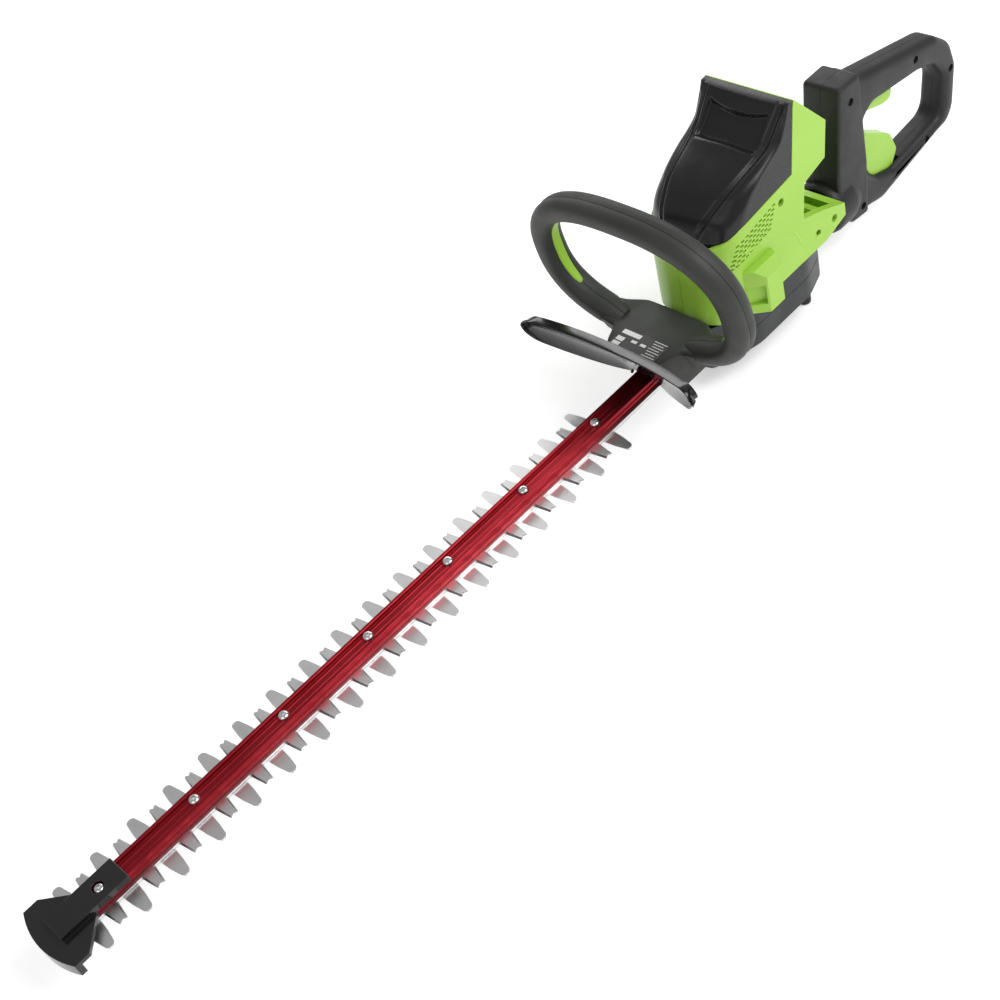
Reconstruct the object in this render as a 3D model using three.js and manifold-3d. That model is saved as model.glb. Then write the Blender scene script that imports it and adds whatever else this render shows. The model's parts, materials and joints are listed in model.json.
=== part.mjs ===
// Cordless hedge trimmer with a 61 cm double-action blade, tool only, without its battery pack.
// Units are millimetres. +X points along the blade to its tip, +Y to the tool's left, +Z up.
// The pieces are drawn in a tool frame whose origin lies in the plane of the teeth, at the first
// long tooth. One group then moves them so that the origin is at the bottom centre of the object.
import * as THREE from 'three';
import { mergeVertices } from 'three/addons/utils/BufferGeometryUtils.js';
import Module from 'manifold-3d';

// ---------------------------------------------------------------- driving dimensions
const GAP = 0.3;                  // clearance between pieces that touch or seat on each other

// blades and guide bar
const TOOTH_PITCH = 35.5;
const LONG_TEETH = 17;            // on each side of the lower blade
const LONG_TOOTH_REACH = 37.9;    // from the centre line to a long tooth's tip
const LONG_TOOTH_ROOT = 14;
const LONG_TOOTH_TIP = 8;
const SHORT_TOOTH_REACH = 29.4;
const SHORT_TOOTH_ROOT = 12.8;
const SHORT_TOOTH_TIP = 7.4;
const SHORT_TOOTH_NOTCH = 1.8;    // depth of the V cut into a short tooth's tip
const BLADE_HALF_WIDTH = 13;
const BLADE_THICK = 2;
const STROKE = 16;                // full travel of each blade
const BAR_HALF_WIDTH = 10.5;
const BAR_HEIGHT = 9;
const BAR_CHANNEL_HALF_WIDTH = 6; // channel along the bar's top, where the screws sit
const BAR_CHANNEL_DEPTH = 2.9;
const SCREW_FIRST = 20.8;         // distance of the first bar screw behind the origin
const SCREW_SPACING = 91.15;
const SCREW_COUNT = 7;
const SCREW_SHANK_RADIUS = 2.4;
const SCREW_HEAD_RADIUS = 4.6;
const SCREW_HEAD_HEIGHT = 3.8;
const STRIP_HALF_WIDTH = 7;
const STRIP_THICK = 2.4;

// tip guard
const TIP_WING = 34.5;            // half the width of its two wings
const TIP_REAR = -41;
const TIP_FRONT = 35;
const TIP_WALL = 1.3;

// gearbox and drive
const GEAR_AXIS_X = -745;
const GEAR_TEETH = 52;
const PINION_TEETH = 12;
const GEAR_MODULE = 1.25;
const GEAR_THICK = 7;
const SHAFT_RADIUS = 3.5;
const CAM_LAND = 1.5;             // material between the shaft and the cam's thin side
const BEARING_RADIUS = 9;
const BEARING_HEIGHT = 5;
const GEARBOX_WALL = 3.5;
const GEARBOX_FRONT = -690;
const GEARBOX_BOTTOM = -24;
const GEARBOX_CHAMFER = 7;        // bevel round the pan's lower edge
const GEARBOX_SPLIT = 4;
const GEARBOX_TOP = 27;

// motor
const MOTOR_RADIUS = 22;
const MOTOR_HEIGHT = 44;
const ROTOR_RADIUS = 14.5;
const MOTOR_SHAFT_RADIUS = 2.5;

// green housing and black cover
const BODY_HALF_WIDTH = 46;
const BODY_WALL = 2.8;
const BODY_BOTTOM = 29;
const BODY_TOP = 190;
const TOWER_FRONT = -816;
const BAY_FACE_FOOT = [-853, 147]; // lower end of the tower's slanted rear face
const BAY_DEPTH = 68;             // along the bay, from the slanted face to its floor
const VENT_ROWS = 6;
const VENT_COLUMNS = 9;
const VENT_LENGTH = 4.2;
const VENT_HEIGHT = 1.9;
const WING_END = -868;
const FLANK_SEAT_Y = BODY_HALF_WIDTH - 5;
const SCREW_HOLE_RADIUS = 1.8;
const SCREW_SEAT_RADIUS = 3.8;
const SCREW_BITE = 6;             // length of thread in the right-hand half
const BAY_HALF_WIDTH = 37;        // battery bay, clear width between its side walls

// rear handle
const HANDLE_AXIS_Z = 12;
const HANDLE_BARREL_RADIUS = 27;
const HANDLE_FRONT = -886;
const HANDLE_END = -1095;
const COLUMN_HALF_WIDTH = 20;
const GRIP_HALF_WIDTH = 15;
const HANDLE_WALL = 2.6;
const COLLAR_RADIUS = 23;
const CUFF_RADIUS = 25;           // ring of the housing that holds the handle's neck
const CUFF_REAR = -862;
const CUFF_FRONT = -850.5;
const NECK_RADIUS = 16.5;
const FLANGE_RADIUS = 20;

// front loop handle, its base and the hand guard
const LOOP_HALF_WIDTH = 103;      // to the tube's centre line
const LOOP_BASE_X = -661;
const LOOP_LEAN = 7;              // degrees, top towards the blade
const LOOP_TUBE_DEPTH = 28;       // along the tool
const LOOP_TUBE_WIDTH = 23;       // in the loop's plane
const LOOP_END = 74;              // degrees that the tube runs on below its widest level
const LOOP_FOOT_Z = 30;
const BASE_TOP = 45;
const GUARD_HALF_WIDTH = 95;
const GUARD_THICK = 3;
const GUARD_RIM = 10;             // depth of the flange along the guard's upper edge
const FOOT_BOTTOM = -44;

// ---------------------------------------------------------------- solid helpers
const wasm = await Module();
wasm.setup();

const X_AXIS = new THREE.Vector3(1, 0, 0);
const Y_AXIS = new THREE.Vector3(0, 1, 0);
const Z_AXIS = new THREE.Vector3(0, 0, 1);

function solidOf(geometry) {
  const bare = geometry.clone();
  bare.deleteAttribute('normal');
  bare.deleteAttribute('uv');
  const merged = mergeVertices(bare, 1e-4);
  return new wasm.Manifold(new wasm.Mesh({
    numProp: 3,
    vertProperties: new Float32Array(merged.attributes.position.array),
    triVerts: new Uint32Array(merged.index.array),
  }));
}

function geometryOf(solid) {
  const mesh = solid.getMesh();
  const geometry = new THREE.BufferGeometry();
  geometry.setAttribute('position', new THREE.BufferAttribute(new Float32Array(mesh.vertProperties), 3));
  geometry.setIndex(new THREE.BufferAttribute(new Uint32Array(mesh.triVerts), 1));
  geometry.computeVertexNormals();
  return geometry;
}

function union(...solids) {
  return solids.reduce((sum, next) => sum.add(next));
}

function cut(solid, ...tools) {
  return tools.reduce((rest, tool) => rest.subtract(tool), solid);
}

function box(x0, x1, y0, y1, z0, z1) {
  const geometry = new THREE.BoxGeometry(x1 - x0, y1 - y0, z1 - z0);
  geometry.translate((x0 + x1) / 2, (y0 + y1) / 2, (z0 + z1) / 2);
  return solidOf(geometry);
}

function extrusion(points, length, basis) {
  const shape = new THREE.Shape(points.map(([a, b]) => new THREE.Vector2(a, b)));
  const geometry = new THREE.ExtrudeGeometry(shape, { depth: length, bevelEnabled: false });
  geometry.applyMatrix4(basis);
  return solidOf(geometry);
}

// points are (x, y) pairs, pulled from z0 up to z1
function prismZ(points, z0, z1) {
  return extrusion(points, z1 - z0, new THREE.Matrix4().makeTranslation(0, 0, z0));
}

// points are (x, z) pairs, pulled from y0 to y1
function prismY(points, y0, y1) {
  const basis = new THREE.Matrix4().makeBasis(X_AXIS, Z_AXIS, Y_AXIS.clone().negate());
  basis.setPosition(0, y1, 0);
  return extrusion(points, y1 - y0, basis);
}

// points are (y, z) pairs, pulled from x0 to x1
function prismX(points, x0, x1) {
  const basis = new THREE.Matrix4().makeBasis(Y_AXIS, Z_AXIS, X_AXIS);
  basis.setPosition(x0, 0, 0);
  return extrusion(points, x1 - x0, basis);
}

function cylinderZ(radius, x, y, z0, z1, sides = 16) {
  const geometry = new THREE.CylinderGeometry(radius, radius, z1 - z0, sides);
  geometry.rotateX(Math.PI / 2);
  geometry.translate(x, y, (z0 + z1) / 2);
  return solidOf(geometry);
}

function cylinderX(radius, x0, x1, y, z, sides = 20) {
  const geometry = new THREE.CylinderGeometry(radius, radius, x1 - x0, sides);
  geometry.rotateZ(Math.PI / 2);
  geometry.translate((x0 + x1) / 2, y, z);
  return solidOf(geometry);
}

function cylinderY(radius, y0, y1, x, z, sides = 10) {
  const geometry = new THREE.CylinderGeometry(radius, radius, y1 - y0, sides);
  geometry.translate(x, (y0 + y1) / 2, z);
  return solidOf(geometry);
}

// a turned piece standing on Z: the profile is a list of (radius, height) pairs
function turnedZ(profile, x, y, sides = 20) {
  const points = profile.map(([radius, height]) => new THREE.Vector2(radius, height));
  const geometry = new THREE.LatheGeometry(points, sides);
  geometry.rotateX(Math.PI / 2);
  geometry.translate(x, y, 0);
  return solidOf(geometry);
}

// a screw along Y: its domed head points away from the middle plane
function turnedY(profile, x, z, side, sides = 20) {
  const points = profile.map(([radius, height]) => new THREE.Vector2(radius, height));
  const geometry = new THREE.LatheGeometry(points, sides);
  if (side < 0) {
    geometry.rotateX(Math.PI);
  }
  geometry.translate(x, 0, z);
  return solidOf(geometry);
}

// joins rings of points, which all have the same count, into one closed solid
function loft(rings) {
  const count = rings[0].length;
  const positions = rings.flat(2);
  const index = [];
  for (let ring = 0; ring + 1 < rings.length; ring += 1) {
    for (let i = 0; i < count; i += 1) {
      const j = (i + 1) % count;
      const a = ring * count + i;
      const b = ring * count + j;
      index.push(a, b, a + count, b, b + count, a + count);
    }
  }
  const lastStart = (rings.length - 1) * count;
  for (const [a, b, c] of capTriangles(rings[0])) {
    index.push(c, b, a);
  }
  for (const [a, b, c] of capTriangles(rings[rings.length - 1])) {
    index.push(lastStart + a, lastStart + b, lastStart + c);
  }
  const geometry = new THREE.BufferGeometry();
  geometry.setAttribute('position', new THREE.Float32BufferAttribute(positions, 3));
  geometry.setIndex(signedVolume(positions, index) < 0 ? index.reverse() : index);
  return solidOf(geometry);
}

// triangles that fill a flat ring, wound as the ring runs
function capTriangles(ring) {
  const points = ring.map((p) => new THREE.Vector3(...p));
  const normal = new THREE.Vector3();
  points.forEach((p, i) => {
    normal.add(new THREE.Vector3().crossVectors(p, points[(i + 1) % points.length]));
  });
  normal.normalize();
  const helper = Math.abs(normal.z) < 0.9 ? Z_AXIS : X_AXIS;
  const u = new THREE.Vector3().crossVectors(helper, normal).normalize();
  const v = new THREE.Vector3().crossVectors(normal, u);
  const flat = points.map((p) => new THREE.Vector2(p.dot(u), p.dot(v)));
  return THREE.ShapeUtils.triangulateShape(flat, []);
}

function signedVolume(positions, index) {
  let volume = 0;
  const corner = (i) => new THREE.Vector3().fromArray(positions, index[i] * 3);
  for (let i = 0; i < index.length; i += 3) {
    volume += corner(i).dot(new THREE.Vector3().crossVectors(corner(i + 1), corner(i + 2))) / 6;
  }
  return volume;
}

// moves a closed outline's sides inwards by a distance
function inset(points, distance) {
  const area = points.reduce((sum, [x, y], i) => {
    const [nx, ny] = points[(i + 1) % points.length];
    return sum + x * ny - nx * y;
  }, 0);
  const turn = area > 0 ? 1 : -1;
  const count = points.length;
  const sides = points.map(([x, y], i) => {
    const [nx, ny] = points[(i + 1) % count];
    const length = Math.hypot(nx - x, ny - y);
    return { nx: (-turn * (ny - y)) / length, ny: (turn * (nx - x)) / length, x, y };
  });
  return points.map((_, i) => {
    const a = sides[(i + count - 1) % count];
    const b = sides[i];
    const ca = a.nx * a.x + a.ny * a.y + distance;
    const cb = b.nx * b.x + b.ny * b.y + distance;
    const det = a.nx * b.ny - a.ny * b.nx;
    if (Math.abs(det) < 1e-3) {
      return [points[i][0] + b.nx * distance, points[i][1] + b.ny * distance];
    }
    return [(ca * b.ny - cb * a.ny) / det, (a.nx * cb - b.nx * ca) / det];
  });
}

function arcPoints(cx, cy, radius, startDegrees, endDegrees, steps) {
  const points = [];
  for (let i = 0; i <= steps; i += 1) {
    const angle = THREE.MathUtils.degToRad(startDegrees + ((endDegrees - startDegrees) * i) / steps);
    points.push([cx + radius * Math.cos(angle), cy + radius * Math.sin(angle)]);
  }
  return points;
}

// rounds every corner of an outline by a radius, limited by the sides that meet there
function rounded(points, radius, steps = 2) {
  const count = points.length;
  return points.flatMap((p, i) => {
    const before = points[(i + count - 1) % count];
    const after = points[(i + 1) % count];
    const toBefore = [before[0] - p[0], before[1] - p[1]];
    const toAfter = [after[0] - p[0], after[1] - p[1]];
    const lengthBefore = Math.hypot(...toBefore);
    const lengthAfter = Math.hypot(...toAfter);
    const reach = Math.min(radius, lengthBefore * 0.45, lengthAfter * 0.45);
    const start = [p[0] + (toBefore[0] / lengthBefore) * reach, p[1] + (toBefore[1] / lengthBefore) * reach];
    const end = [p[0] + (toAfter[0] / lengthAfter) * reach, p[1] + (toAfter[1] / lengthAfter) * reach];
    const curve = [];
    for (let k = 0; k <= steps; k += 1) {
      const t = k / steps;
      curve.push([0, 1].map((c) => (1 - t) ** 2 * start[c] + 2 * t * (1 - t) * p[c] + t ** 2 * end[c]));
    }
    return curve;
  });
}

const mirrorY = (points) => points.map(([x, y]) => [x, -y]).reverse();

// ---------------------------------------------------------------- finishes
function finish(color, roughness, metalness) {
  return new THREE.MeshStandardMaterial({ color, roughness, metalness });
}

const RED_ALUMINIUM = finish(0xb02a34, 0.35, 0.7);
const BLADE_STEEL = finish(0xb9b9b9, 0.3, 0.9);
const BRIGHT_STEEL = finish(0xd0d0d2, 0.25, 0.95);
const BLACK_PLASTIC = finish(0x2b2b2b, 0.45, 0.0);
const GLOSS_BLACK = finish(0x202022, 0.2, 0.0);
const GREEN_PLASTIC = finish(0x9ccb45, 0.4, 0.0);
const HANDLE_PLASTIC = finish(0x444445, 0.6, 0.0);
const LOOP_PLASTIC = finish(0x454745, 0.6, 0.0);
const CAST_GREY = finish(0x4a4a4d, 0.45, 0.5);
const COPPER = finish(0xb87346, 0.4, 0.8);
const BOARD_GREEN = finish(0x2f5b35, 0.6, 0.0);
const LABEL_SILVER = finish(0x8d8f8c, 0.5, 0.1);

// ---------------------------------------------------------------- levels and places worked out from them
const LOWER_BLADE_Z = -(BLADE_THICK + GAP / 2);
const UPPER_BLADE_Z = GAP / 2;
const BAR_Z = UPPER_BLADE_Z + BLADE_THICK + GAP;
const BAR_TOP = BAR_Z + BAR_HEIGHT;
const CHANNEL_Z = BAR_TOP - BAR_CHANNEL_DEPTH;
const STRIP_TOP = LOWER_BLADE_Z - GAP;
const BAR_FRONT = 13;
const BAR_REAR = GEARBOX_FRONT + 3;
const BLADE_FRONT = 10;
const THROW = STROKE / 2;
const CAM_RADIUS = THROW + SHAFT_RADIUS + CAM_LAND;
const CAM_SWEEP = CAM_RADIUS + THROW;
const YOKE_WALL = 4;
const YOKE_THICK = 3;
const YOKE_WINDOW_X = CAM_SWEEP + THROW + 2 * GAP;
const YOKE_WINDOW_Y = CAM_SWEEP + 2 * GAP;
const YOKE_FRONT = GEAR_AXIS_X + YOKE_WINDOW_X + YOKE_WALL;
const BLADE_REAR = YOKE_FRONT + 3;
const RIVET_X = BLADE_REAR + 5;
const RIVET_Y = 7;
const RIVET_RADIUS = 2;
const MOUTH_HALF_WIDTH = BLADE_HALF_WIDTH + 2.5;
const GEAR_Z = 9;
const PITCH_RADIUS_GEAR = (GEAR_MODULE * GEAR_TEETH) / 2;
const PITCH_RADIUS_PINION = (GEAR_MODULE * PINION_TEETH) / 2;
const MOTOR_AXIS_X = GEAR_AXIS_X - PITCH_RADIUS_GEAR - PITCH_RADIUS_PINION;
const GEARBOX_HALF_WIDTH = PITCH_RADIUS_GEAR + GEAR_MODULE + GEARBOX_WALL + 4.75;
const MOTOR_Z = GEARBOX_TOP + 6;
const screwX = (i) => -(SCREW_FIRST + i * SCREW_SPACING);

// ---------------------------------------------------------------- blades, bar and tip guard
function longTooth(x) {
  const root = LONG_TOOTH_ROOT / 2;
  const tip = LONG_TOOTH_TIP / 2;
  return [
    [x - root, BLADE_HALF_WIDTH],
    [x - tip, LONG_TOOTH_REACH - 3.5],
    [x - tip * 0.6, LONG_TOOTH_REACH - 0.9],
    [x, LONG_TOOTH_REACH],
    [x + tip * 0.6, LONG_TOOTH_REACH - 0.9],
    [x + tip, LONG_TOOTH_REACH - 3.5],
    [x + root, BLADE_HALF_WIDTH],
  ];
}

function shortTooth(x) {
  const root = SHORT_TOOTH_ROOT / 2;
  const tip = SHORT_TOOTH_TIP / 2;
  return [
    [x - root, BLADE_HALF_WIDTH],
    [x - tip, SHORT_TOOTH_REACH],
    [x, SHORT_TOOTH_REACH - SHORT_TOOTH_NOTCH],
    [x + tip, SHORT_TOOTH_REACH],
    [x + root, BLADE_HALF_WIDTH],
  ];
}

function slot(x, halfLength, radius, z0, z1) {
  const front = arcPoints(x + halfLength, 0, radius, -90, 90, 3);
  const rear = arcPoints(x - halfLength, 0, radius, 90, 270, 3);
  return prismZ([...front, ...rear], z0, z1);
}

function blade(tooth, firstX, count, z) {
  const side = [[BLADE_REAR, BLADE_HALF_WIDTH]];
  for (let k = count - 1; k >= 0; k -= 1) {
    side.push(...tooth(firstX - k * TOOTH_PITCH));
  }
  side.push([BLADE_FRONT, BLADE_HALF_WIDTH]);
  const sheet = prismZ([...mirrorY(side), ...side], z, z + BLADE_THICK);
  const slots = Array.from({ length: SCREW_COUNT }, (_, i) => (
    slot(screwX(i), THROW + GAP, SCREW_SHANK_RADIUS + GAP, z - 1, z + BLADE_THICK + 1)
  ));
  const rivetHoles = [-1, 1].map((side2) => (
    cylinderZ(RIVET_RADIUS + GAP, RIVET_X, side2 * RIVET_Y, z - 1, z + BLADE_THICK + 1, 16)
  ));
  return cut(sheet, ...slots, ...rivetHoles);
}

function guideBar() {
  const upper = BAR_HALF_WIDTH - 0.9;
  const shoulder = BAR_Z + BAR_HEIGHT * 0.48;
  const right = [
    [BAR_HALF_WIDTH, BAR_Z],
    [BAR_HALF_WIDTH, shoulder],
    [upper, shoulder + 1.2],
    [upper, BAR_TOP],
    [BAR_CHANNEL_HALF_WIDTH, BAR_TOP],
    [BAR_CHANNEL_HALF_WIDTH, CHANNEL_Z],
  ];
  const left = right.map(([y, z]) => [-y, z]).reverse();
  const bar = prismX([...right, ...left], BAR_REAR, BAR_FRONT);
  const holes = Array.from({ length: SCREW_COUNT }, (_, i) => (
    cylinderZ(SCREW_SHANK_RADIUS + GAP, screwX(i), 0, BAR_Z - 1, BAR_TOP + 1, 10)
  ));
  return cut(bar, ...holes);
}

function lowerStrip() {
  const z = STRIP_TOP - STRIP_THICK;
  const strip = box(BAR_REAR, BAR_FRONT - 6, -STRIP_HALF_WIDTH, STRIP_HALF_WIDTH, z, STRIP_TOP);
  const holes = Array.from({ length: SCREW_COUNT }, (_, i) => (
    cylinderZ(SCREW_SHANK_RADIUS + GAP, screwX(i), 0, z - 1, STRIP_TOP + 1, 10)
  ));
  return cut(strip, ...holes);
}

function barScrew(i) {
  const seat = CHANNEL_Z + GAP;
  const end = STRIP_TOP - STRIP_THICK - 0.6;
  const dome = [[SCREW_HEAD_RADIUS * 0.7, 0.9], [0, 1]];
  return turnedZ([
    [0, end],
    [SCREW_SHANK_RADIUS, end],
    [SCREW_SHANK_RADIUS, seat],
    [SCREW_HEAD_RADIUS, seat],
    [SCREW_HEAD_RADIUS, seat + SCREW_HEAD_HEIGHT * 0.5],
    ...dome.map(([radius, share]) => [radius, seat + SCREW_HEAD_HEIGHT * share]),
  ], screwX(i), 0, 10);
}

function tipGuard() {
  const neck = BAR_HALF_WIDTH + GAP + TIP_WALL;
  const wingTop = BAR_Z + 5.6;
  const wingBottom = BAR_Z + 1;
  const front = TIP_FRONT;
  const side = TIP_FRONT - 8;
  const arcRadius = ((front - side) ** 2 + TIP_WING ** 2) / (2 * (front - side));
  const halfAngle = THREE.MathUtils.radToDeg(Math.asin(TIP_WING / arcRadius));
  const arc = arcPoints(front - arcRadius, 0, arcRadius, -halfAngle, halfAngle, 14);
  const wings = [[-9, -neck], [side - 13, -TIP_WING], ...arc, [side - 13, TIP_WING], [-9, neck]];
  const plate = prismZ(wings, wingBottom, wingTop);
  const bumper = prismZ(wings, STRIP_TOP - STRIP_THICK - 1, wingTop).intersect(
    box(BLADE_FRONT + THROW + 4, front + 1, -TIP_WING, TIP_WING, -50, 50),
  );
  const cap = box(TIP_REAR, BAR_FRONT + 8, -neck, neck, BAR_Z + 4.6, BAR_TOP + GAP + TIP_WALL);
  const barSide = BAR_HALF_WIDTH + GAP;
  const barSpace = box(TIP_REAR - 1, BAR_FRONT + GAP, -barSide, barSide, -20, BAR_TOP + GAP);
  const headHole = cylinderZ(SCREW_HEAD_RADIUS + GAP, screwX(0), 0, 0, BAR_TOP + 10, 24);
  return cut(union(plate, bumper, cap), barSpace, headHole);
}

// ---------------------------------------------------------------- drive
function gearOutline(teeth, phase) {
  const pitch = (GEAR_MODULE * teeth) / 2;
  const step = (2 * Math.PI) / teeth;
  const corners = [[-1.28, 0.28], [0.82, 0.105]];
  const outline = [];
  for (let i = 0; i < teeth; i += 1) {
    const centre = phase + i * step;
    const rising = corners.map(([h, share]) => [h, -share]);
    const sides = [...rising, ...[...corners].reverse()];
    for (const [h, share] of sides) {
      const radius = pitch + h * GEAR_MODULE;
      outline.push([radius * Math.cos(centre + share * step), radius * Math.sin(centre + share * step)]);
    }
  }
  return outline;
}

function cam(side, z0, z1) {
  return cylinderZ(CAM_RADIUS, GEAR_AXIS_X, side * THROW, z0, z1, 24);
}

function yokeLevels(side) {
  const z0 = side > 0 ? UPPER_BLADE_Z + BLADE_THICK + GAP : LOWER_BLADE_Z - GAP - YOKE_THICK;
  return [z0, z0 + YOKE_THICK];
}

function driveGear() {
  const [upperLow, upperHigh] = yokeLevels(1);
  const [lowerLow, lowerHigh] = yokeLevels(-1);
  const outline = gearOutline(GEAR_TEETH, 0).map(([x, y]) => [x + GEAR_AXIS_X, y]);
  const lightening = Array.from({ length: 6 }, (_, i) => {
    const angle = (i * Math.PI) / 3;
    const reach = PITCH_RADIUS_GEAR * 0.68;
    const x = GEAR_AXIS_X + reach * Math.cos(angle);
    return cylinderZ(4.5, x, reach * Math.sin(angle), GEAR_Z - 1, GEAR_Z + GEAR_THICK + 1, 10);
  });
  const wheel = cut(prismZ(outline, GEAR_Z, GEAR_Z + GEAR_THICK), ...lightening);
  const shaft = cylinderZ(SHAFT_RADIUS, GEAR_AXIS_X, 0, lowerLow - 8.5, GEAR_Z + GEAR_THICK + 8, 24);
  return union(wheel, shaft, cam(1, upperLow, upperHigh), cam(-1, lowerLow, lowerHigh));
}

function bladeYoke(side) {
  const [z0, z1] = yokeLevels(side);
  const outerX = YOKE_WINDOW_X + YOKE_WALL;
  const outerY = YOKE_WINDOW_Y + YOKE_WALL;
  const frame = box(GEAR_AXIS_X - outerX, YOKE_FRONT, -outerY, outerY, z0, z1);
  const windowRear = GEAR_AXIS_X - YOKE_WINDOW_X;
  const windowFront = GEAR_AXIS_X + YOKE_WINDOW_X;
  const window = box(windowRear, windowFront, -YOKE_WINDOW_Y, YOKE_WINDOW_Y, z0 - 1, z1 + 1);
  const tongue = box(YOKE_FRONT - 1, RIVET_X + 4, -BLADE_HALF_WIDTH + 1, BLADE_HALF_WIDTH - 1, z0, z1);
  const pinStart = side > 0 ? UPPER_BLADE_Z + GAP : LOWER_BLADE_Z - GAP - 1;
  const pinEnd = side > 0 ? z0 + 1 : LOWER_BLADE_Z + BLADE_THICK - GAP;
  const pins = [-1, 1].map((y) => cylinderZ(RIVET_RADIUS, RIVET_X, y * RIVET_Y, pinStart, pinEnd, 16));
  return union(cut(frame, window), tongue, ...pins);
}

function bearing(z0) {
  return turnedZ([
    [SHAFT_RADIUS + GAP, z0],
    [BEARING_RADIUS, z0],
    [BEARING_RADIUS, z0 + BEARING_HEIGHT],
    [SHAFT_RADIUS + GAP, z0 + BEARING_HEIGHT],
    [SHAFT_RADIUS + GAP, z0],
  ], GEAR_AXIS_X, 0, 14);
}

const LOWER_BEARING_Z = yokeLevels(-1)[0] - 4 - BEARING_HEIGHT;
const UPPER_BEARING_Z = GEAR_Z + GEAR_THICK + 2;

// plan outline of the gearbox: tapered to the blades in front and drawn in again behind
function gearboxPlan() {
  const half = GEARBOX_HALF_WIDTH;
  const side = [
    [GEARBOX_FRONT, 24],
    [GEARBOX_FRONT - 20, 34],
    [GEARBOX_FRONT - 50, half],
    [MOTOR_AXIS_X - 28, half],
    [Math.max(MOTOR_AXIS_X - 60, CUFF_FRONT + 4), half - 11],
  ];
  return rounded([...side, ...mirrorY(side)], 6, 2);
}

// the pan's solid from its bevelled underside up to a level
function panSolid(plan, z0, z1, bevel) {
  const ring = (outline, z) => outline.map(([x, y]) => [x, y, z]);
  return loft([ring(inset(plan, bevel), z0), ring(plan, z0 + bevel), ring(plan, z1)]);
}

function gearboxLower() {
  const plan = gearboxPlan();
  const shell = panSolid(plan, GEARBOX_BOTTOM, GEARBOX_SPLIT, GEARBOX_CHAMFER);
  const floor = GEARBOX_BOTTOM + GEARBOX_WALL;
  const inner = panSolid(inset(plan, GEARBOX_WALL), floor, GEARBOX_SPLIT + 1, GEARBOX_CHAMFER - 1);
  const mouthRear = YOKE_FRONT - YOKE_WALL - THROW;
  const mouth = box(mouthRear, GEARBOX_FRONT + 5, -MOUTH_HALF_WIDTH, MOUTH_HALF_WIDTH, -9, GEARBOX_SPLIT + 1);
  const bossTop = LOWER_BEARING_Z + BEARING_HEIGHT;
  const boss = cylinderZ(BEARING_RADIUS + 3, GEAR_AXIS_X, 0, GEARBOX_BOTTOM + 1, bossTop, 20);
  const seat = LOWER_BEARING_Z - GAP;
  const pocket = cylinderZ(BEARING_RADIUS + GAP, GEAR_AXIS_X, 0, seat, seat + 40, 20);
  const ribs = [0, 1, 2].map((i) => {
    const x = GEARBOX_FRONT - 34 - i * 26;
    return box(x, x + 3, -22, 22, GEARBOX_BOTTOM - 2, GEARBOX_BOTTOM + 1);
  });
  return cut(union(cut(shell, inner, mouth), boss, ...ribs), pocket);
}

function gearboxUpper() {
  const plan = gearboxPlan();
  const shell = prismZ(plan, GEARBOX_SPLIT + GAP, GEARBOX_TOP);
  const inner = prismZ(inset(plan, GEARBOX_WALL), GEARBOX_SPLIT, GEARBOX_TOP - GEARBOX_WALL);
  const mouth = box(YOKE_FRONT - 4, GEARBOX_FRONT + 5, -MOUTH_HALF_WIDTH, MOUTH_HALF_WIDTH, 0, BAR_TOP + GAP);
  const boss = cylinderZ(BEARING_RADIUS + 3, GEAR_AXIS_X, 0, UPPER_BEARING_Z, GEARBOX_TOP - 1, 20);
  const pocketTop = UPPER_BEARING_Z + BEARING_HEIGHT + GAP;
  const pocket = cylinderZ(BEARING_RADIUS + GAP, GEAR_AXIS_X, 0, UPPER_BEARING_Z - 1, pocketTop, 20);
  const shaftHole = cylinderZ(SHAFT_RADIUS + 1, GEAR_AXIS_X, 0, 0, 60, 20);
  const pinionHole = cylinderZ(PITCH_RADIUS_PINION + 3, MOTOR_AXIS_X, 0, 0, 60, 20);
  return cut(union(cut(shell, inner, mouth), boss), pocket, shaftHole, pinionHole);
}

function footPeg(side) {
  const top = GEARBOX_BOTTOM - GAP;
  return turnedZ([
    [0, FOOT_BOTTOM],
    [5, FOOT_BOTTOM],
    [6.2, FOOT_BOTTOM + 1.2],
    [6.2, top],
    [0, top],
  ], MOTOR_AXIS_X - 42, side * 22, 16);
}

function motorStator() {
  const z0 = MOTOR_Z;
  const z1 = MOTOR_Z + MOTOR_HEIGHT;
  const bore = MOTOR_SHAFT_RADIUS + 1;
  const chamber = ROTOR_RADIUS + 1;
  return turnedZ([
    [bore, z0],
    [MOTOR_RADIUS - 2, z0],
    [MOTOR_RADIUS, z0 + 2],
    [MOTOR_RADIUS, z1 - 2],
    [MOTOR_RADIUS - 2, z1],
    [bore, z1],
    [bore, z1 - 3],
    [chamber, z1 - 3],
    [chamber, z0 + 3],
    [bore, z0 + 3],
    [bore, z0],
  ], MOTOR_AXIS_X, 0, 24);
}

function motorRotor() {
  const z0 = MOTOR_Z;
  const z1 = MOTOR_Z + MOTOR_HEIGHT;
  const shaftEnd = GEAR_Z + GEAR_THICK + 1;
  return turnedZ([
    [0, shaftEnd],
    [MOTOR_SHAFT_RADIUS, shaftEnd],
    [MOTOR_SHAFT_RADIUS, z0 + 6],
    [ROTOR_RADIUS, z0 + 6],
    [ROTOR_RADIUS, z1 - 6],
    [MOTOR_SHAFT_RADIUS, z1 - 6],
    [MOTOR_SHAFT_RADIUS, z1 + 6.5],
    [0, z1 + 6.5],
  ], MOTOR_AXIS_X, 0, 20);
}

function motorPinion() {
  const phase = Math.PI / PINION_TEETH;
  const outline = gearOutline(PINION_TEETH, phase).map(([x, y]) => [x + MOTOR_AXIS_X, y]);
  return prismZ(outline, GEAR_Z - 1, GEAR_Z + GEAR_THICK + 1 - GAP);
}

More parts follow.
